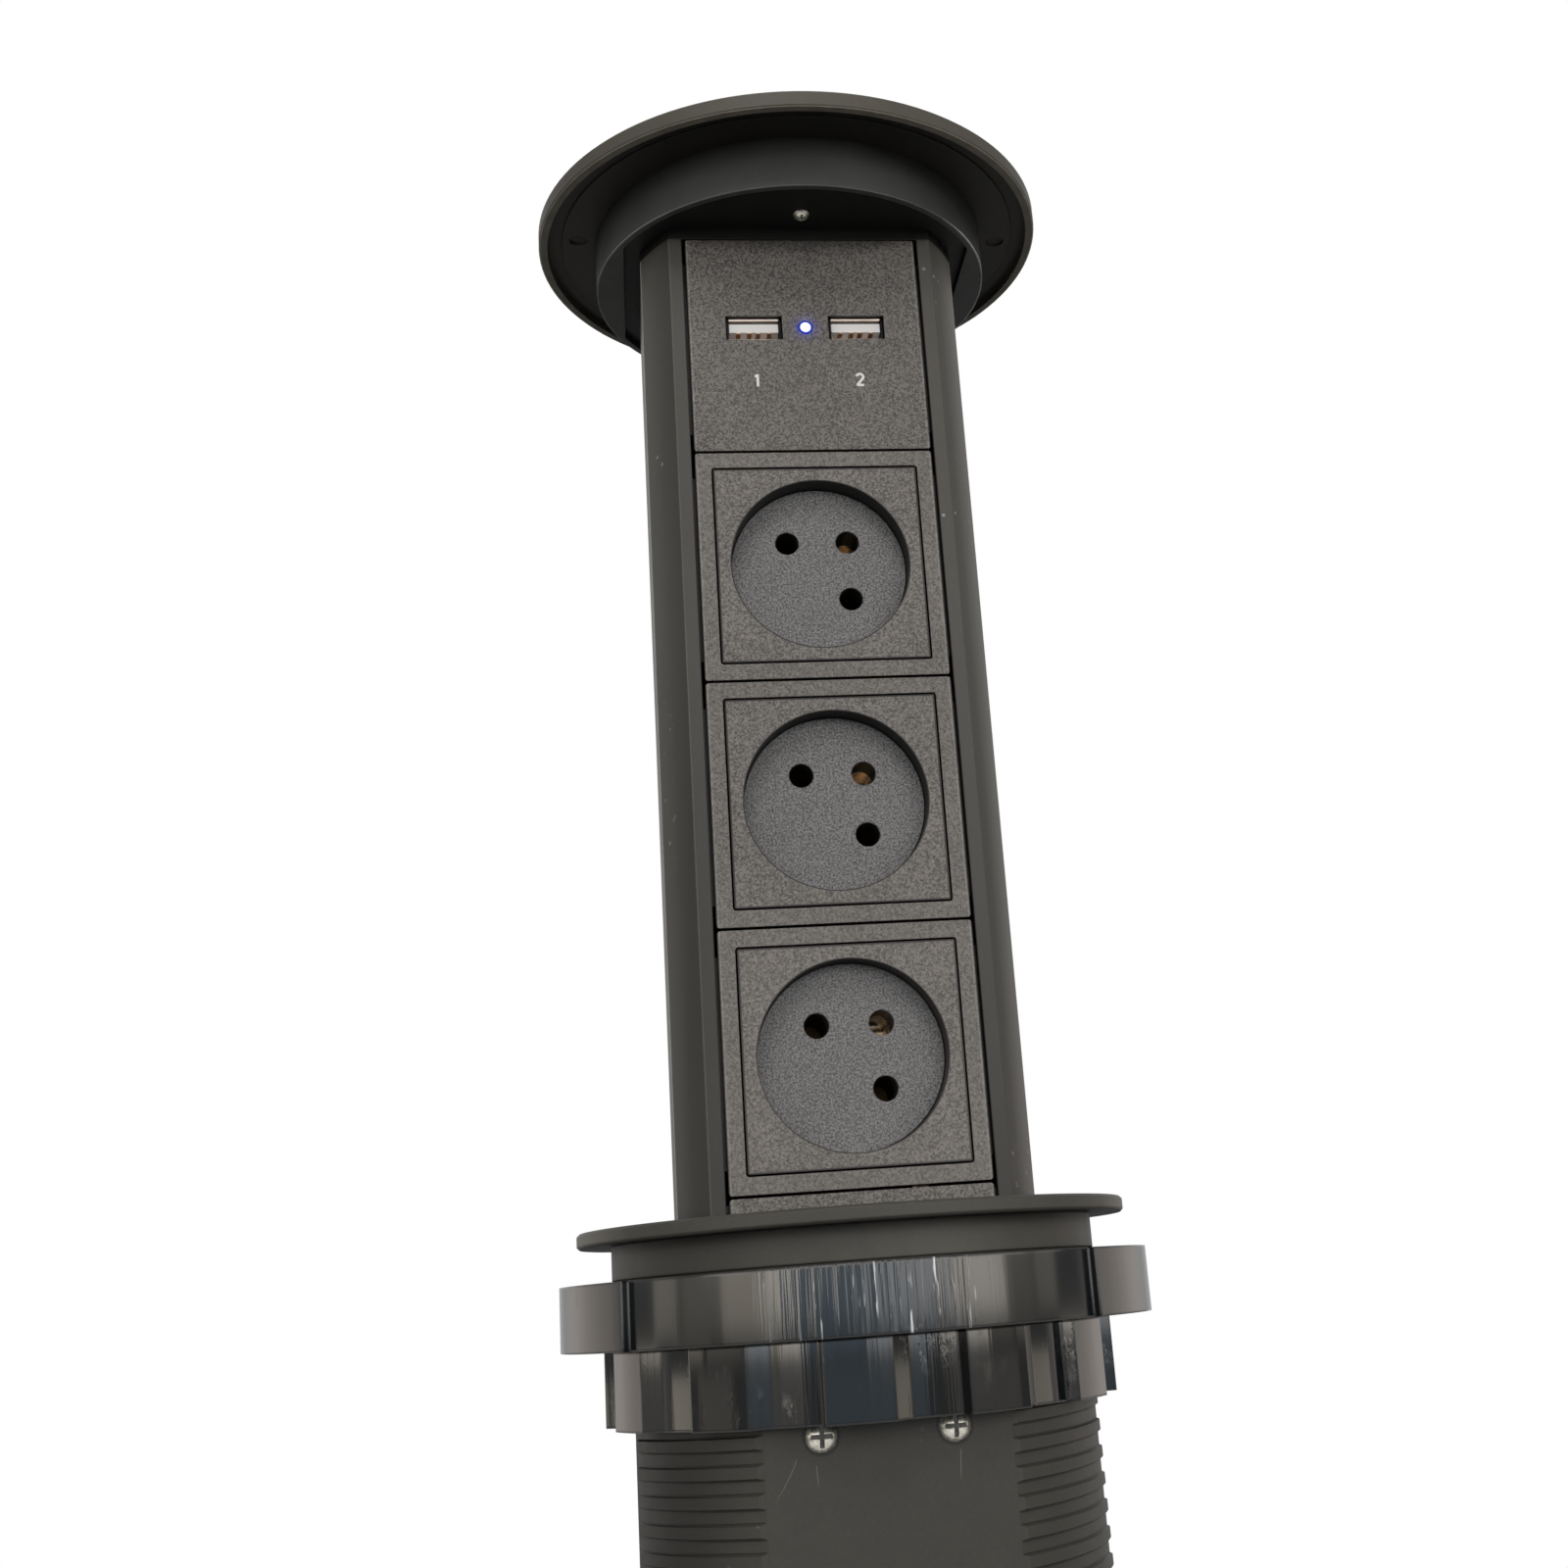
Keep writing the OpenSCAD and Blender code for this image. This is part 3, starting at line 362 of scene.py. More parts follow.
towerLook = {
    "dark": 0.024, "pale": 0.045, "rough": 0.46, "warm": 0.09, "olive": 0.04, "shine": 0.24, "edge": 0.25,
    "grain": 0.45, "grainScale": 2100, "broad": 0.35, "broadScale": 210, "cloud": 0.5, "cloudScale": 16,
    "dust": 0.35, "dustScale": 330, "railOut": 30.1, "railWide": 3.0, "halves": (0.0, 1.0),
    "flank": (0.0, 0.02), "flankBack": (-1.0, 0.0),
    "shade": towerFoot, "shadeDepth": 0.98, "foot": (10, 130), "railSoft": (0.0, 0.05), "railShare": 0.4,
    "inner": (0.0, 0.6), "innerLeft": 0.6, "innerShare": 0.15, "sideShare": 0.51,
    "slot": (0.15, 0.25), "slotDeep": (5, 8),
    "wearAndPaintedLight": railEdge, "wornAndLit": 0.22, "corner": (0.06, 0.22), "cornerDeep": (0.0, 2.0), "cornerShare": 0.14,
    "sideLine": (-0.15, -0.05), "sideDeep": (0.3, 0.6),
    "paleRight": (0.25, 1.0), "rightShare": 0.17, "paleLeft": (0.5, 1.0), "leftShare": 0.07,
}
plateLook = {**towerLook, "dark": 0.003, "pale": 0.006, "wornAndLit": 0.006, "shine": 0.2, "shadeTone": 1.0}
dress(mouldedPlastic("anodisedBlack", towerLook), "tower_profile")
dress(mouldedPlastic("plateBlack", plateLook), "tower_top_plate", "tower_end_plug", "busbar_cover")


# outlet modules: mid grey with a fine pale speckle
def behindFace(look, x, y, z):
    # painted shade below the face, in the slots, and along both outer edges
    return ((y - faceLow.y).rise(*look["behind"]) + (abs(x) - look["half"]).rise(*look["outer"])).clip()


def outletShade(look, x, y, z):
    # dark behind the face, and in thin lines on it: round the recess and along the slot round the insert
    up = z - look["middle"]
    fromRim = hypotenuse(x, up) - look["recess"]
    fromSlot = abs(abs(x).greater(abs(up)) - look["slot"])
    return (behindFace(look, x, y, z) + fromRim.fall(*look["line"]) + fromSlot.fall(*look["line"])).clip()


def holeShade(look, x, y, z):
    # dark inside the pin holes, just behind the recess floor
    return (y - coreLow.y).rise(*look["hole"])


def modulePaintedLight(look, x, y, z):
    # painted light: the lowest outlet catches more light from the table,
    # and a painted highlight line runs inside both outer edges
    edge = abs(abs(x) - look["half"] + look["lineAt"]).fall(*look["lineWide"]) * look["lineShare"]
    return (z.fall(*look["low"]) * look["lowShare"] + edge).clip()


coreLow = inMm(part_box("socket_core_1")[0])
moduleLook = {
    "dark": 0.020, "pale": 0.112, "rough": 0.5, "roughSpread": 0.2, "warm": 0.075, "shine": 0.3,
    "grain": 3.2, "grainScale": 2300, "broad": 0.6, "broadScale": 1100, "cloud": 0.4, "cloudScale": 40,
    "bump": 0.05, "edge": 0.22, "behind": (0.08, 0.4), "half": 26.4, "outer": (-0.22, -0.12),
    "shadeDepth": 0.99,
    "wearAndPaintedLight": modulePaintedLight, "wornAndLit": 0.30, "low": (30, 80), "lowShare": 0.055,
    "lineAt": 0.42, "lineWide": (0.1, 0.22), "lineShare": 0.15,
}
frameLook = {**moduleLook, "grain": 2.2, "shade": behindFace}
stripLook = {**frameLook, "grain": 4.4, "dark": 0.0165, "pale": 0.093}
insertLook = {**moduleLook, "shade": outletShade, "recess": 19.5, "slot": 22.4, "line": (0.16, 0.32)}
coreLook = {**moduleLook, "grain": 4.6, "dark": 0.022, "pale": 0.122, "warm": -0.006, "olive": -0.014,
            "shade": holeShade, "shadeDepth": 0.98, "hole": (0.15, 0.7)}
dress(mouldedPlastic("speckledGrey", frameLook), "socket_frame_1", "socket_frame_2", "socket_frame_3")
dress(mouldedPlastic("speckledStrip", stripLook), "filler_strip")
for number in (1, 2, 3):
    low, high = map(inMm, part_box(f"socket_insert_{number}"))
    insertGrey = mouldedPlastic(f"speckledInsert{number}", {**insertLook, "middle": (low.z + high.z) / 2})
    dress(insertGrey, f"socket_insert_{number}")
dress(mouldedPlastic("speckledCore", coreLook), "socket_core_1", "socket_core_2", "socket_core_3")
print("lid, tower and modules dressed")

# charger face: the same speckle, with the lamp's blue glow around its hole
lampLow, lampHigh = map(inMm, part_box("lamp_lens"))
lampRadius = (lampHigh.x - lampLow.x) / 2


def fromLamp(x, z):
    return hypotenuse(x - (lampLow.x + lampHigh.x) / 2, z - (lampLow.z + lampHigh.z) / 2)


def underBoss(look, x, y, z):
    # dark where the frames are, with a bowed shadow under the lid base, deepest in the middle
    bowed = x * x * (look["bow"] / look["bowAt"] ** 2)
    shadow = (faceHigh.z - z + bowed).fall(*look["shadow"]) * look["shadowShare"]
    return (behindFace(look, x, y, z) + shadow).clip()


def lampGlow(look, x, y, z):
    # fades with the distance from the lamp's edge, by a factor e over each reach
    past = (fromLamp(x, z) - lampRadius).greater(0.0)
    return (math.e ** (past / -look["glowReach"])).blend(grey(0.0), look["glowColour"])


# its tones are a little darker than the frames' speckle, as painted shade from the lid above
faceLook = {
    **frameLook, "grain": 3.9, "dark": 0.0165, "pale": 0.093,
    "shade": underBoss, "bow": 2.6, "bowAt": 26, "shadow": (0.2, 4.2), "shadowShare": 0.55,
    "glow": lampGlow, "glowReach": 0.75, "glowColour": (0.01, 0.04, 1.0, 1.0), "glowStrength": 0.22,
}
dress(mouldedPlastic("speckledFace", faceLook), "usb_faceplate")

# lamp: white-hot middle, blue rim from a share of its radius outward
lensLook = {"middle": (0.85, 0.97, 1.0, 1.0), "rim": (0.006, 0.015, 0.2, 1.0), "rimFrom": (0.62, 0.84),
            "glassMiddle": (0.8, 0.85, 0.9, 1), "glassRim": (0.01, 0.02, 0.2, 1),
            "strength": 1.3, "rough": 0.15}


def litLens():
    fixed = {"Roughness": lensLook["rough"], "Emission Strength": lensLook["strength"]}
    made, wire, shader = startMaterial("litLens", fixed)
    x, y, z = wire.places().parts(1 / mm)
    edge = (fromLamp(x, z) / lampRadius).rise(*lensLook["rimFrom"])
    wire.feed(shader.inputs["Emission Color"], edge.blend(lensLook["middle"], lensLook["rim"]))
    wire.feed(shader.inputs["Base Color"], edge.blend(lensLook["glassMiddle"], lensLook["glassRim"]))
    return made


dress(litLens(), "lamp_lens")

# metal finishes: fine brushing along one axis, and a cloudy stain
shellHigh = inMm(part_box("usb_shells")[1])
screwLow, screwHigh = map(inMm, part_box("housing_screws"))
screwRadius = (screwHigh.z - screwLow.z) / 2


def fromScrew(x, z):
    # offsets from the nearer front screw's axis
    return abs(x) - screwHigh.x + screwRadius, z - screwHigh.z + screwRadius


def portSides(look, x, y, z):
    # the side walls of both port shells, dull in the shade of the face
    return abs(abs(x) - shellHigh.x + look["portMiddle"]).rise(*look["portWall"])


def crossShade(look, x, y, z):
    # painted shade in the cross recess of each front screw's head, in shares of the head's radius
    across, up = fromScrew(x, z)
    arm = (abs(across).lesser(abs(up)) / screwRadius).fall(*look["arm"])
    return arm * (hypotenuse(across, up) / screwRadius).fall(*look["armLong"]) * look["armShare"]


plainMetal = {"metal": 1.0, "edge": 0.1, "streak": 0.5, "contrast": 1.0, "middle": 0.45, "mottle": 1.2,
              "brushNoise": (3.0, 0.6), "stainNoise": (3.0, 0.6), "stainRough": 0.2, "brushRough": 0.12,
              "lift": 0.006, "shadeTone": 0.01}
metals = {
    "brightZinc": {"pale": (0.80, 0.78, 0.70, 1), "dark": (0.10, 0.09, 0.07, 1), "rough": 0.30, "metal": 0.8,
                   "brush": (900, 900, 900), "stain": 800, "edge": 0.12,
                   "on": ["lid_screws", "tower_screws", "end_plug_screws", "end_cap_screws",
                          "terminal_screws"]},
    "frontZinc": {"pale": (0.98, 0.96, 0.88, 1), "dark": (0.16, 0.15, 0.12, 1), "rough": 0.28, "metal": 0.8,
                  "brush": (900, 900, 900), "stain": 900, "edge": 0.15, "shade": crossShade,
                  "arm": (0.12, 0.155), "armLong": (0.66, 0.71), "armShare": 0.93,
                  "on": ["housing_screws"]},
    "portSteel": {"pale": (1.0, 0.89, 0.81, 1), "dark": (0.75, 0.63, 0.56, 1), "rough": 0.4,
                  "brush": (200, 60, 1500), "stain": 250, "shade": portSides,
                  "portMiddle": 6.2, "portWall": (5.5, 5.7), "on": ["usb_shells"]},
    "springSteel": {"pale": (0.60, 0.59, 0.57, 1), "dark": (0.35, 0.34, 0.32, 1), "rough": 0.3,
                    "brush": (200, 60, 1500), "stain": 250, "on": ["brake_springs"]},
    "contactBrass": {"pale": (0.92, 0.66, 0.45, 1), "dark": (0.30, 0.18, 0.10, 1), "rough": 0.28,
                     "brush": (300, 300, 900), "stain": 160, "on": ["usb_contacts"]},
    "earthBrass": {"pale": (1.0, 0.76, 0.50, 1), "dark": (0.05, 0.03, 0.015, 1), "rough": 0.28,
                   "brush": (60, 60, 1000), "stain": 500, "streak": 1.0, "contrast": 5.0,
                   "on": ["earth_busbar"]},
    # live and neutral contacts: brass darkened nearly to black, as painted shade deep in the pin holes
    "dullBrass": {"pale": (0.10, 0.06, 0.03, 1), "dark": (0.03, 0.02, 0.012, 1), "rough": 0.5,
                  "brush": (300, 300, 900), "stain": 160, "on": ["live_busbar", "neutral_busbar"]},
}


def metalFinish(name, chosen):
    look = {**plainMetal, **chosen}
    made, wire, shader = startMaterial(name, {"Metallic": look["metal"]})
    place = wire.places()
    brush = place.stretched(look["brush"]).noise(1.0, *look["brushNoise"])
    stain = place.noise(look["stain"], *look["stainNoise"])
    mottle = stain * (look["mottle"] - look["streak"]) + brush * look["streak"] - look["mottle"] / 2
    body = (mottle * look["contrast"] + look["middle"]).clip().blend(look["dark"], look["pale"])
    if "shade" in look:
        body = look["shade"](look, *place.parts(1 / mm)).blend(body, grey(look["shadeTone"]))
    rough = look["rough"] + (stain - 0.5) * look["stainRough"] + (brush - 0.5) * look["brushRough"]
    wire.feed(shader.inputs["Base Color"], body)
    wire.feed(shader.inputs["Roughness"], rough)
    wire.feed(shader.inputs["Normal"], brush.bump(look["lift"] * mm, softEdge(wire, look["edge"] * mm)))
    return made


for metalName, metalLook in metals.items():
    dress(metalFinish(metalName, metalLook), *metalLook["on"])

# small moulded parts
tongueLow = inMm(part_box("usb_tongues")[0])


def tongueFront(look, x, y, z):
    # all but a tongue's underside, which the bright shell lights from below
    return (z - tongueLow.z).rise(*look["front"])


smallParts = {
    "tongueWhite": {"dark": 0.86, "pale": 0.98, "rough": 0.4, "warm": 0.0, "shade": tongueFront,
                    "shadeDepth": 0.64, "front": (0.02, 0.1), "on": ["usb_tongues", "terminal_block"]},
    "boardGreen": {"dark": 0.02, "pale": 0.05, "rough": 0.35, "warm": -0.4, "on": ["usb_board"]},
    "windingTape": {"dark": 0.30, "pale": 0.45, "rough": 0.45, "warm": 0.45, "on": ["usb_transformer"]},
    "canSleeve": {"dark": 0.012, "pale": 0.025, "rough": 0.3, "warm": -0.5, "on": ["usb_capacitors"]},
    "brakePad": {"dark": 0.012, "pale": 0.02, "rough": 0.8, "warm": 0.0, "on": ["brake_pads"]},
    "bushBlack": {"dark": 0.012, "pale": 0.022, "rough": 0.5, "warm": 0.02, "on": ["guide_bush"]},
    "glandBlack": {"dark": 0.018, "pale": 0.032, "rough": 0.45, "warm": 0.02,
                   "on": ["gland_body", "gland_locknut", "gland_cap"]},
}
for partName, partLook in smallParts.items():
    dress(mouldedPlastic(partName, partLook), *partLook["on"])
print("charger, metals and small parts dressed")

# flange and housing: matte black moulding, a little scuffed
flangeHigh = inMm(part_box("flange")[1])
housingHigh = inMm(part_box("housing")[1])
scuffedGrain = {"grain": 0.5, "grainScale": 1700, "broad": 0.4, "broadScale": 180, "cloud": 0.5,
                "cloudScale": 18, "rough": 0.5, "bump": 0.012, "warm": 0.10, "olive": 0.06, "shine": 0.24}


def flangeRim(look, x, y, z):
    # painted highlight on the rim's outer face at both ends, and a little painted light on the collar's
    # middle
    edge = (hypotenuse(x, y) - flangeHigh.x).rise(*look["rim"])
    sides = abs(x).rise(*look["sides"]) * look["sideShare"]
    collar = (-z).rise(*look["collar"]) * abs(x - look["collarMiddle"]).fall(*look["collarWide"])
    return (edge * sides + collar * look["collarShare"]).clip()


def underFlange(look, x, y, z):
    # painted shade on the flange's underside, and on the collar just below it
    return (-z).rise(*look["underside"]) * (-z).fall(*look["under"])


flangeLook = {
    **scuffedGrain, "dark": 0.0195, "pale": 0.038, "edge": 0.5, "wearAndPaintedLight": flangeRim, "wornAndLit": 0.34,
    "rim": (-0.35, -0.1), "sides": (46, 57), "sideShare": 0.15,
    "collar": (0.1, 0.6), "collarMiddle": 6, "collarWide": (8, 34), "collarShare": 0.055,
    "shade": underFlange, "shadeDepth": 0.92, "underside": (-0.05, 0.0), "under": (0.45, 2.2),
}
dress(mouldedPlastic("flangeBlack", flangeLook), "flange")


def scratched(look, x, y, z):
    # faint handling scratches on the flat, each a bowed line that fades out downward
    total = 0.0
    for startX, startZ, lean, bow, tall in look["scratches"]:
        down = startZ - z
        offset = x - startX + down * lean + down * down * bow
        fading = down.rise(*look["scratchTop"]) * down.fall(tall * look["scratchFade"], tall)
        total = abs(offset).fall(*look["scratchWide"]) * fading + total
    return total.clip() * (y - look["flat"]).fall(*look["flatDeep"])


def threadLine(look, x, y, z):
    # painted shade in dark lines along both edges of the thread's ribs: turns climbed above the helix,
    # to the nearest rib; darker toward both sides, and a painted shadow ring round each front screw
    turns = x.maths("ARCTAN2", y, x) / (2 * math.pi)
    fromStart = z - housingHigh.z + look["start"]
    fromRib = abs((fromStart / look["pitch"] - turns + 0.5).fraction() - 0.5)
    ending = look["pitch"] * (look["turns"] + look["runOut"])
    line = abs(fromRib - look["ribEdge"]).fall(*look["ribLine"])
    line = line * (fromStart + ending).rise(*look["ribEnd"])
    sides = (-x).rise(*look["left"]) * look["leftShare"] + x.rise(*look["right"]) * look["rightShare"]
    beside = (hypotenuse(*fromScrew(x, z)) - screwRadius).fall(*look["beside"]) * (-y).rise(*look["front"])
    return ((line + sides).clip() * (y - look["flat"]).rise(*look["threadDeep"]) + beside).clip()


housingLook = {
    **scuffedGrain, "dark": 0.016, "pale": 0.034, "edge": 0.12, "dust": 0.12, "dustScale": 320,
    "flat": -41.4, "flatDeep": (0.0, 0.3),
    # a scratch has its start in x and z, lean, bow per mm, and length
    "wearAndPaintedLight": scratched, "wornAndLit": 0.07, "scratches": [
        (-17.0, -40.5, 0.45, 0.022, 7.5),
        (-13.6, -41.8, -0.08, 0.006, 4.0),
        (13.2, -41.0, 0.10, -0.005, 6.0),
    ],
    "scratchWide": (0.05, 0.14), "scratchTop": (0.0, 0.4), "scratchFade": 0.6,
    # rib edge and line are in turns, thread lengths in mm
    "shade": threadLine, "shadeDepth": 0.9, "pitch": 5.0, "turns": 16, "runOut": 0.3, "start": 2.85,
    "ribEdge": 0.29, "ribLine": (0.014, 0.035), "ribEnd": (0.0, 0.5), "threadDeep": (0.0, 0.2),
    "left": (26, 40), "leftShare": 0.87, "right": (27, 46), "rightShare": 0.3,
    "beside": (0.15, 0.7), "front": (0.0, 1.0),
}
dress(mouldedPlastic("housingBlack", housingLook), "housing", "end_cap")

# clamp ring and nut: gloss moulding with upright draw lines and handling scuffs, most on the ring's front
ringLow, ringHigh = map(inMm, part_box("clamp_ring"))
glossLook = {
    "dark": 0.003, "darkWarm": -0.15, "pale": 0.012, "paleWarm": -0.08, "shine": 0.55, "edge": 0.7,
    "smooth": 0.07, "ringSmooth": 0.13, "scuffed": 0.36, "ringFoot": (-0.3, 0.0), "ringBow": 0.0012,
    "wornAt": -3, "wornHalf": 24, "front": (30, 40), "nutWorn": 0.2, "patchWorn": 0.4,
    "lines": (900, 900, 22), "lineNoise": (2.0, 0.6), "lineLift": 0.26, "lineLeast": 0.04,
    "ripple": (70, 70, 5), "rippleNoise": (2.0, 0.5), "rippleLift": 0.05,
    "scuff": (260, 260, 90), "scuffNoise": (4.0, 0.7), "scuffFrom": (0.55, 0.70), "scuffLift": 0.02,
    "patch": (34, 34, 60), "patchNoise": (2.0, 0.5), "patchFrom": (0.48, 0.58),
    "streaks": (1500, 1500, 130), "streakNoise": (2.0, 0.6), "streakFrom": (0.60, 0.70),
    "streakLines": (0.5, 0.6), "streakFront": 1.5, "streakLess": 0.3, "streak": 0.5, "streakWarm": -0.03,
}


def glossMoulding(look):
    made, wire, shader = startMaterial("glossMoulding", {"Specular IOR Level": look["shine"]})
    place = wire.places()
    x, y, z = place.parts(1 / mm)
    lines = place.stretched(look["lines"]).noise(1.0, *look["lineNoise"])
    ripple = place.stretched(look["ripple"]).noise(1.0, *look["rippleNoise"])
    scuff = place.stretched(look["scuff"]).noise(1.0, *look["scuffNoise"]).rise(*look["scuffFrom"])
    patch = place.stretched(look["patch"]).noise(1.0, *look["patchNoise"]).rise(*look["patchFrom"])
    streaks = place.stretched(look["streaks"]).noise(1.0, *look["streakNoise"]).rise(*look["streakFrom"])
    onRing = (z - ringLow.z).rise(*look["ringFoot"])
    across = (x - look["wornAt"]) / look["wornHalf"]
    front = (1.0 - across * across).clip() * (-y).rise(*look["front"])
    front = front * (onRing * (1 - look["nutWorn"]) + look["nutWorn"])
    wornAndLit = (scuff * patch + (lines - 0.5).clip() * (front + patch * look["patchWorn"])).clip()
    body = wornAndLit.blend(grey(look["dark"], look["darkWarm"]), grey(look["pale"], look["paleWarm"]))
    # pale streaks on the draw lines across the front, partly scratches and partly painted highlight
    onFront = (front * look["streakFront"] - look["streakLess"]).clip()
    streaks = streaks * lines.rise(*look["streakLines"]) * onFront
    wire.feed(shader.inputs["Base Color"], streaks.blend(body, grey(look["streak"], look["streakWarm"])))
    smooth = onRing * (look["ringSmooth"] - look["smooth"]) + look["smooth"]
    wire.feed(shader.inputs["Roughness"], wornAndLit * (look["scuffed"] - look["ringSmooth"]) + smooth)
    height = lines * (front + look["lineLeast"]) * look["lineLift"] + ripple * look["rippleLift"]
    height = height + scuff * patch * look["scuffLift"]
    # the ring's wall bows out a little between its edges
    half = (ringHigh.z - ringLow.z) / 2
    offMiddle = (z - ringLow.z - half).clip(-half, half)
    height = height - offMiddle * offMiddle * look["ringBow"]
    wire.feed(shader.inputs["Normal"], height.bump(mm, softEdge(wire, look["edge"] * mm)))
    return made


dress(glossMoulding(glossLook), "clamp_ring", "ring_nut")
print("flange, housing and clamp dressed")

# port numbers: flat strokes on the charger face, in mm; the cell is 0.62 of a number's height wide
figures = {"tall": 3.0, "stroke": 0.55, "lift": 0.06, "liftStep": 0.01, "low": 183.3,
           "places": (-11.6, 11.6), "cellHalf": 0.31}
inkLook = {"dark": 0.34, "pale": 0.48, "rough": 0.5, "roughSpread": 0.1, "bump": 0.004, "edge": 0.03,
           "warm": -0.01, "grain": 0.6, "grainScale": 2600, "broad": 0.4, "broadScale": 600,
           "cloud": 0.2, "cloudScale": 90}


def strokePiece(name, path, width, lift):
    # a flat strip carried along a path in X and Z: each row is the path point moved half a width
    # to either side along the path's normal, and four such rows close round the strip's section
    run = np.gradient(path, axis=0)
    run /= np.linalg.norm(run, axis=1)[:, None]
    side = np.stack([-run[:, 1], run[:, 0]], 1) * width / 2
    section = [(1, 0.0), (1, lift), (-1, lift), (-1, 0.0)]
    count = len(path)
    rows = []
    for sign, out in section:
        moved = path + sign * side
        rows.append(np.column_stack([moved[:, 0], np.full(count, faceLow.y - out), moved[:, 1]]))
    points = np.stack(rows, 1).reshape(-1, 3) * mm
    i = np.repeat(np.arange(count - 1), 4)
    j = np.tile(np.arange(4), count - 1)
    k = (j + 1) % 4
    faces = np.column_stack([i * 4 + j, i * 4 + k, i * 4 + 4 + k, i * 4 + 4 + j]).tolist()
    faces += [[3, 2, 1, 0], [count * 4 - 4, count * 4 - 3, count * 4 - 2, count * 4 - 1]]
    return addMesh(name, points, faces)


def along(start, end, steps=14):
    # a straight run from start to end, evenly stepped
    return np.linspace(start, end, steps)


def figurePaths():
    # shapes in a cell 0.62 wide and 1 tall: a flagged stem, and a bow that runs down to a foot
    turn = np.radians(np.linspace(165, -38, 26))
    bow = np.column_stack([0.31 + 0.25 * np.cos(turn), 0.72 + 0.25 * np.sin(turn)])
    foot = along(bow[-1], (0.06, 0.04), 16)
    return {
        "figureOne": [along((0.14, 0.78), (0.34, 0.97)), along((0.34, 1.0), (0.34, 0.0))],
        "figureTwo": [np.vstack([bow, foot[1:]]), along((0.04, 0.05), (0.58, 0.05))],
    }


ink = mouldedPlastic("figureInk", inkLook)
for (figureName, strokes), middle in zip(figurePaths().items(), figures["places"]):
    for number, stroke in enumerate(strokes):
        path = stroke * figures["tall"] + (middle - figures["cellHalf"] * figures["tall"], figures["low"])
        lift = figures["lift"] - number * figures["liftStep"]
        piece = strokePiece(f"{figureName}_{number}", path, figures["stroke"], lift)
        piece.data.materials.append(ink)
        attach(piece, "tower")
print("port numbers drawn")

# floor: a wide pale disc, thinning out to nothing at its edge (metres, drop in mm)
floorLook = {"radius": 1.3, "solid": 0.55, "clearFrom": 0.97, "inner": 0.01, "rings": 24, "spokes": 96,
             "drop": 0.6, "tone": 0.78, "dimmer": 0.98, "cloudScale": 6, "rough": 0.9, "shine": 0.1}


def floorDisc(look):
    # rings of points about the axis: radius along one parameter, turn along the other
    rings, spokes = look["rings"], look["spokes"]
    radii, turns = np.linspace(look["inner"], look["radius"], rings), np.linspace(0, 2 * np.pi, spokes + 1)
    ring, turn = np.meshgrid(radii, turns, indexing="ij")
    level = np.full_like(ring, cadBox[0][2] - look["drop"] * mm)
    points = np.stack([ring * np.cos(turn), ring * np.sin(turn), level], -1).reshape(-1, 3)
    i, j = np.meshgrid(np.arange(rings - 1), np.arange(spokes), indexing="ij")
    a = (i * (spokes + 1) + j).ravel()
    faces = np.column_stack([a, a + spokes + 1, a + spokes + 2, a + 1]).tolist()
    faces.append(list(range(spokes)))
    piece = addMesh("studioFloor", points, faces)
    fixed = {"Roughness": look["rough"], "Specular IOR Level": look["shine"]}
    made, wire, shader = startMaterial("paleFloor", fixed)
    place = wire.places()
    x, y, z = place.parts()
    body = place.noise(look["cloudScale"]).blend(grey(look["tone"] * look["dimmer"]), grey(look["tone"]))
    wire.feed(shader.inputs["Base Color"], body)
    solid = hypotenuse(x, y).fall(look["solid"], look["radius"] * look["clearFrom"])
    wire.feed(shader.inputs["Alpha"], solid)
    piece.data.materials.append(made)
    piece.visible_diffuse = False  # the floor throws no light up at the object


floorDisc(floorLook)

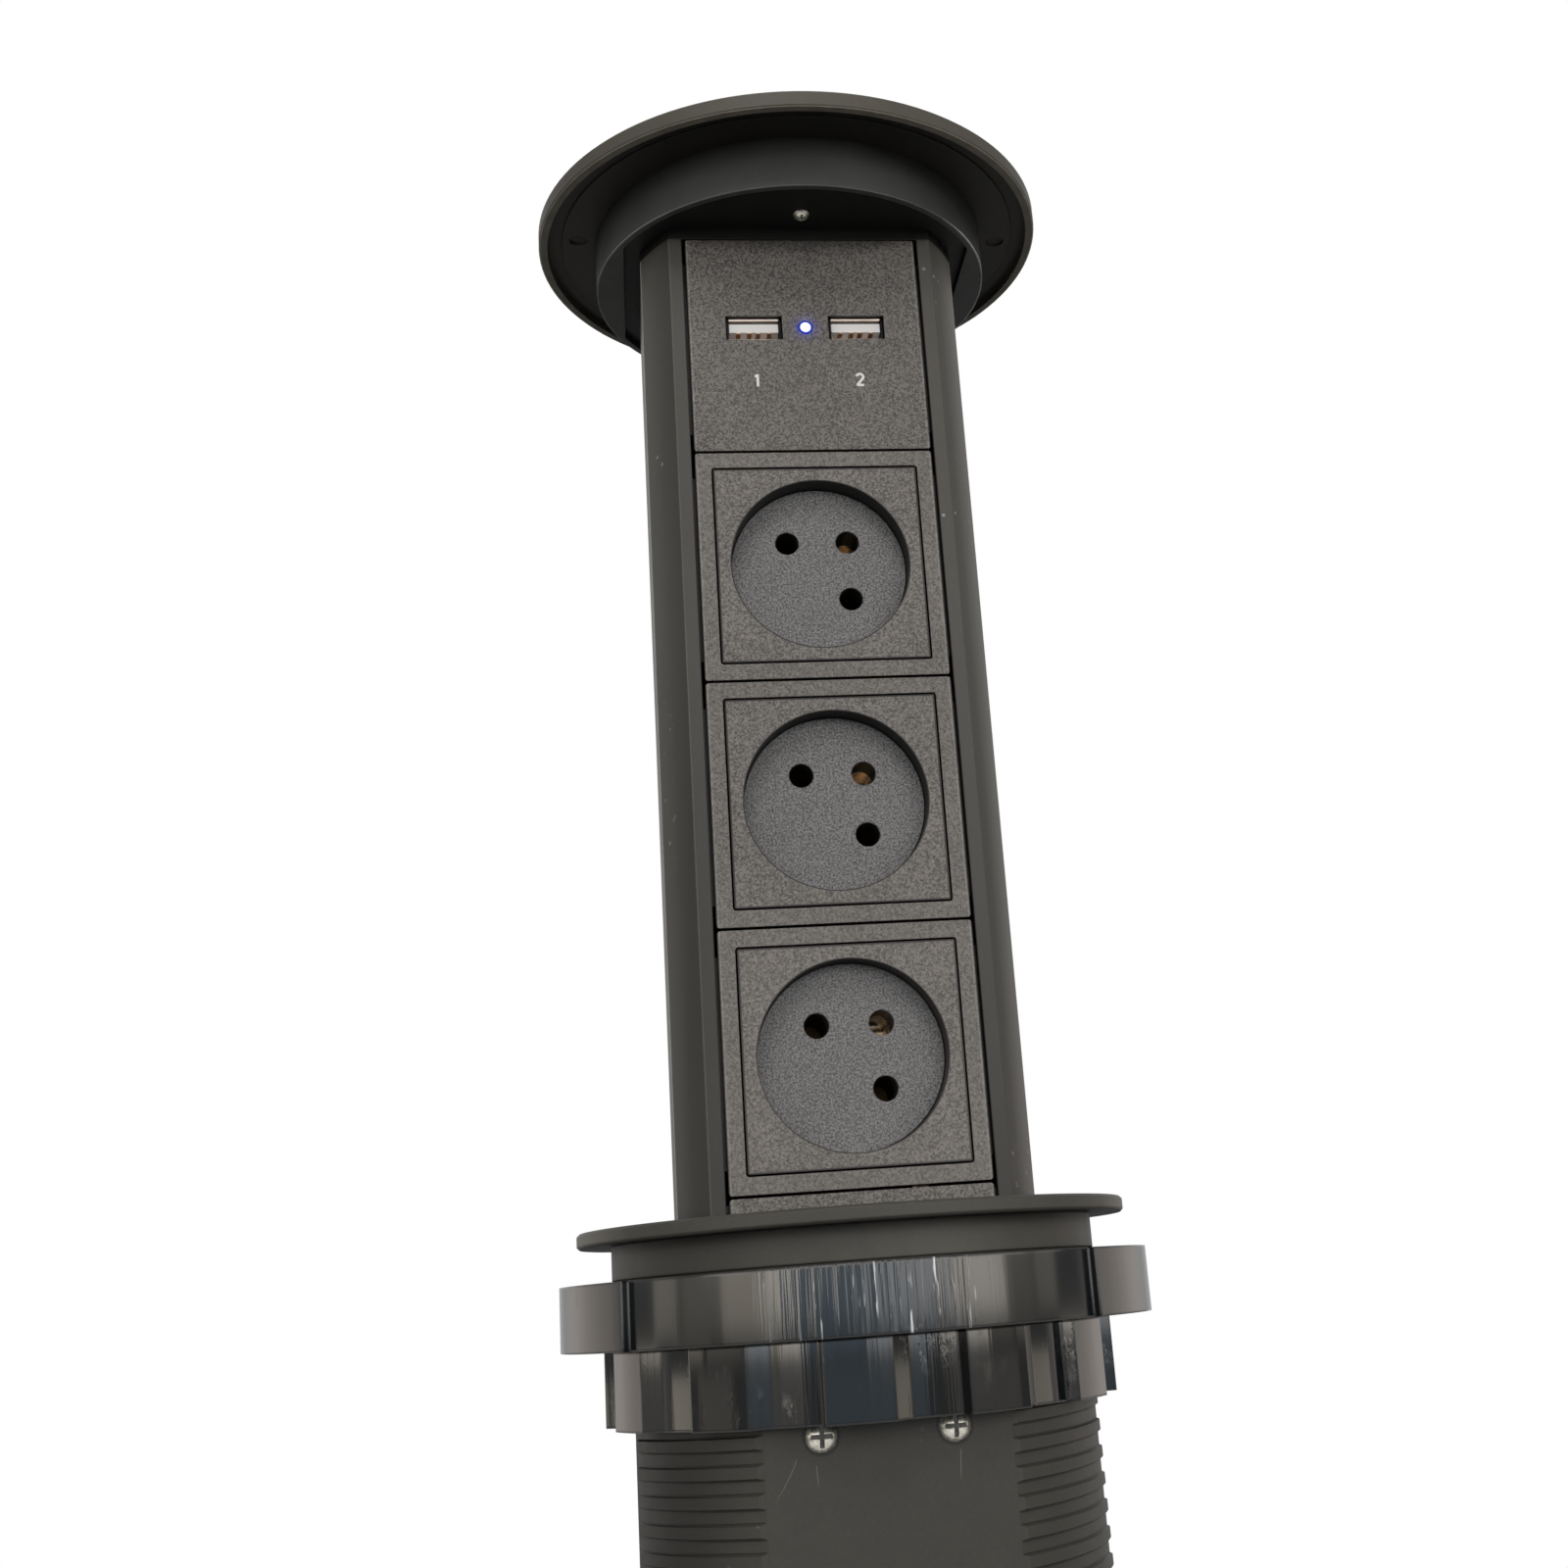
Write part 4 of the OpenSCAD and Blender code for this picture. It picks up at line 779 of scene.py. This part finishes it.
# light: upright panels before the object, a tilted box above them, low strips for the gloss ring and nut
cameraTurn = -6.2  # the camera's own place, in degrees right of straight ahead
warmWhite, softWhite, coolWhite = (1.0, 0.95, 0.9), (1.0, 0.97, 0.94), (0.55, 0.8, 1.0)
amberWhite, creamWhite = (1.0, 0.91, 0.75), (1.0, 0.94, 0.85)
tilting = {"above": 0.5, "aim": 0.1}  # lamps that start above this height are tilted at that height
strips = [
    # name, turn from the camera in degrees, distance, lower and upper edge, width (metres), glow, colour
    ("panelLeft", -48, 1.1, 0.07, 0.6, 0.42, 3.6, warmWhite),
    ("stripLeft", -22, 1.1, 0.07, 0.6, 0.50, 3.8, softWhite),
    ("boxFront", 14, 1.3, 0.08, 0.55, 0.80, 3.4, softWhite),
    ("stripRight", 37, 1.1, 0.07, 0.6, 0.32, 5.4, softWhite),
    ("panelNear", 60, 1.1, 0.07, 0.6, 0.40, 3.6, warmWhite),
    ("panelRight", 80, 1.1, 0.07, 0.6, 0.30, 2.2, warmWhite),
    ("boxAbove", -4, 0.9, 0.85, 1.35, 0.70, 8.0, (1.0, 0.96, 0.92)),
    ("ringFar", -76, 1.1, -0.05, 0.07, 0.23, 1.6, amberWhite),
    ("ringSide", -60, 1.1, -0.05, 0.07, 0.31, 0.9, amberWhite),
    ("ringOuter", -43, 1.1, -0.05, 0.07, 0.31, 2.9, amberWhite),
    ("ringLeft", -30, 1.1, -0.05, 0.07, 0.195, 6.0, creamWhite),
    ("ringMiddle", -10.5, 1.3, -0.055, 0.07, 0.66, 1.2, coolWhite),
    ("ringInner", 19, 1.3, -0.055, 0.07, 0.66, 3.6, (0.9, 0.95, 1.0)),
    ("ringRight", 47.5, 1.1, -0.05, 0.07, 0.41, 5.1, creamWhite),
    ("ringNear", 64, 1.1, -0.05, 0.07, 0.25, 0.7, amberWhite),
    ("ringRear", 77, 1.1, -0.05, 0.07, 0.21, 1.0, amberWhite),
    ("nutSide", -64, 1.1, -0.14, -0.06, 0.33, 0.55, amberWhite),
    ("nutFar", -88, 1.1, -0.14, -0.06, 0.27, 2.0, amberWhite),
    ("nutLeft", -37, 1.1, -0.14, -0.06, 0.51, 0.5, creamWhite),
    ("nutMiddle", 5, 1.3, -0.14, -0.065, 1.20, 0.5, coolWhite),
    ("nutRight", 56, 1.1, -0.14, -0.06, 0.60, 0.4, amberWhite),
    ("nutRear", 90, 1.1, -0.14, -0.06, 0.27, 1.5, amberWhite),
]
for name, aside, away, low, top, wide, glow, colour in strips:
    lamp = bpy.data.lights.new(name, "AREA")
    lamp.shape = "RECTANGLE"
    lamp.size = wide
    lamp.size_y = top - low
    lamp.energy = glow * math.pi * lamp.size * lamp.size_y
    lamp.color = colour
    holder = addObject(name, lamp)
    turn = math.radians(aside + cameraTurn)
    holder.location = (away * math.sin(turn), -away * math.cos(turn), (low + top) / 2)
    tilt = math.atan2(holder.location.z - tilting["aim"], away) if low > tilting["above"] else 0.0
    holder.rotation_euler = (math.radians(90) - tilt, 0.0, turn)

# surround: white to look at; as a light it is white behind the object, dim before it and dark below,
# with a low band that is dim behind the object and pale on both sides of it.
# spans are in degrees around from the camera, or in the upward part of the direction
surround = {
    "seen": 1.0, "behind": 0.9, "before": 0.3, "backFrom": (105, 150),
    "below": 0.02, "ground": (-0.22, -0.06), "left": 0.45, "leftFrom": (0.75, 0.95), "leftUp": (0.0, 0.1),
    "beside": 1.35, "besideColour": (1.0, 0.91, 0.84, 1.0), "besideEnd": (132, 150),
    "low": 0.6, "bandFrom": (97, 104), "bandLow": (-0.2, -0.12), "bandTop": (0.06, 0.16),
}


def paleSurround(look):
    world = bpy.data.worlds.new("paleSurround")
    bpy.context.scene.world = world
    world.use_nodes = True
    wire = Wire(world.node_tree)
    direct = wire.put("ShaderNodeLightPath", out="Is Camera Ray")
    x, y, up = wire.put("ShaderNodeTexCoord", out="Generated").parts()
    around = abs(x.maths("ARCTAN2", x, -y) * (180 / math.pi) - cameraTurn)
    back = around.rise(*look["backFrom"]) * (look["behind"] - look["before"]) + look["before"]
    back = back + (-x).rise(*look["leftFrom"]) * up.rise(*look["leftUp"]) * look["left"]
    lit = up.rise(*look["ground"]) * (back - look["below"]) + look["below"]
    beside = around.rise(*look["bandFrom"]) * around.fall(*look["besideEnd"])
    band = beside * (look["beside"] - look["low"]) + look["low"]
    inBand = up.rise(*look["bandLow"]) * up.fall(*look["bandTop"]) * around.rise(*look["bandFrom"])
    lit = lit + inBand * (band - lit)
    background = world.node_tree.nodes["Background"]
    colour = (inBand * beside * (1.0 - direct)).blend(grey(1.0), look["besideColour"])
    wire.feed(background.inputs["Color"], colour)
    wire.feed(background.inputs["Strength"], direct * (look["seen"] - lit) + lit)


paleSurround(surround)
bpy.context.scene.view_settings.view_transform = "Standard"

# camera: place (mm), turns (degrees) and focal length (pixels) fitted to points measured in the photograph
shot = {"focal": 1910.352, "yaw": -8.152, "pitch": 16.528, "roll": -4.253,
        "place": (-43.767, -404.571, -12.934), "middle": (899.408, 752.0), "picture": 1600,
        "sensor": 36.0, "nearest": 0.01}


def photoCamera():
    yaw, pitch, roll = (math.radians(shot[k]) for k in ("yaw", "pitch", "roll"))
    ahead = np.array([-math.sin(yaw) * math.cos(pitch), math.cos(yaw) * math.cos(pitch), math.sin(pitch)])
    right = np.array([math.cos(yaw), math.sin(yaw), 0.0])
    up = np.cross(right, ahead)
    leanRight = math.cos(roll) * right + math.sin(roll) * up
    leanUp = -math.sin(roll) * right + math.cos(roll) * up
    lens = bpy.data.cameras.new("photoCamera")
    lens.sensor_width = shot["sensor"]
    lens.lens = shot["focal"] / shot["picture"] * lens.sensor_width
    lens.shift_x = 0.5 - shot["middle"][0] / shot["picture"]
    lens.shift_y = shot["middle"][1] / shot["picture"] - 0.5
    lens.clip_start = shot["nearest"]
    holder = addObject("photoCamera", lens)
    pose = np.eye(4)
    pose[:3, 0], pose[:3, 1], pose[:3, 2] = leanRight, leanUp, -ahead
    pose[:3, 3] = np.array(shot["place"]) * mm
    holder.matrix_world = Matrix(pose.tolist())
    bpy.context.scene.camera = holder


photoCamera()
print("floor, lights and camera placed")
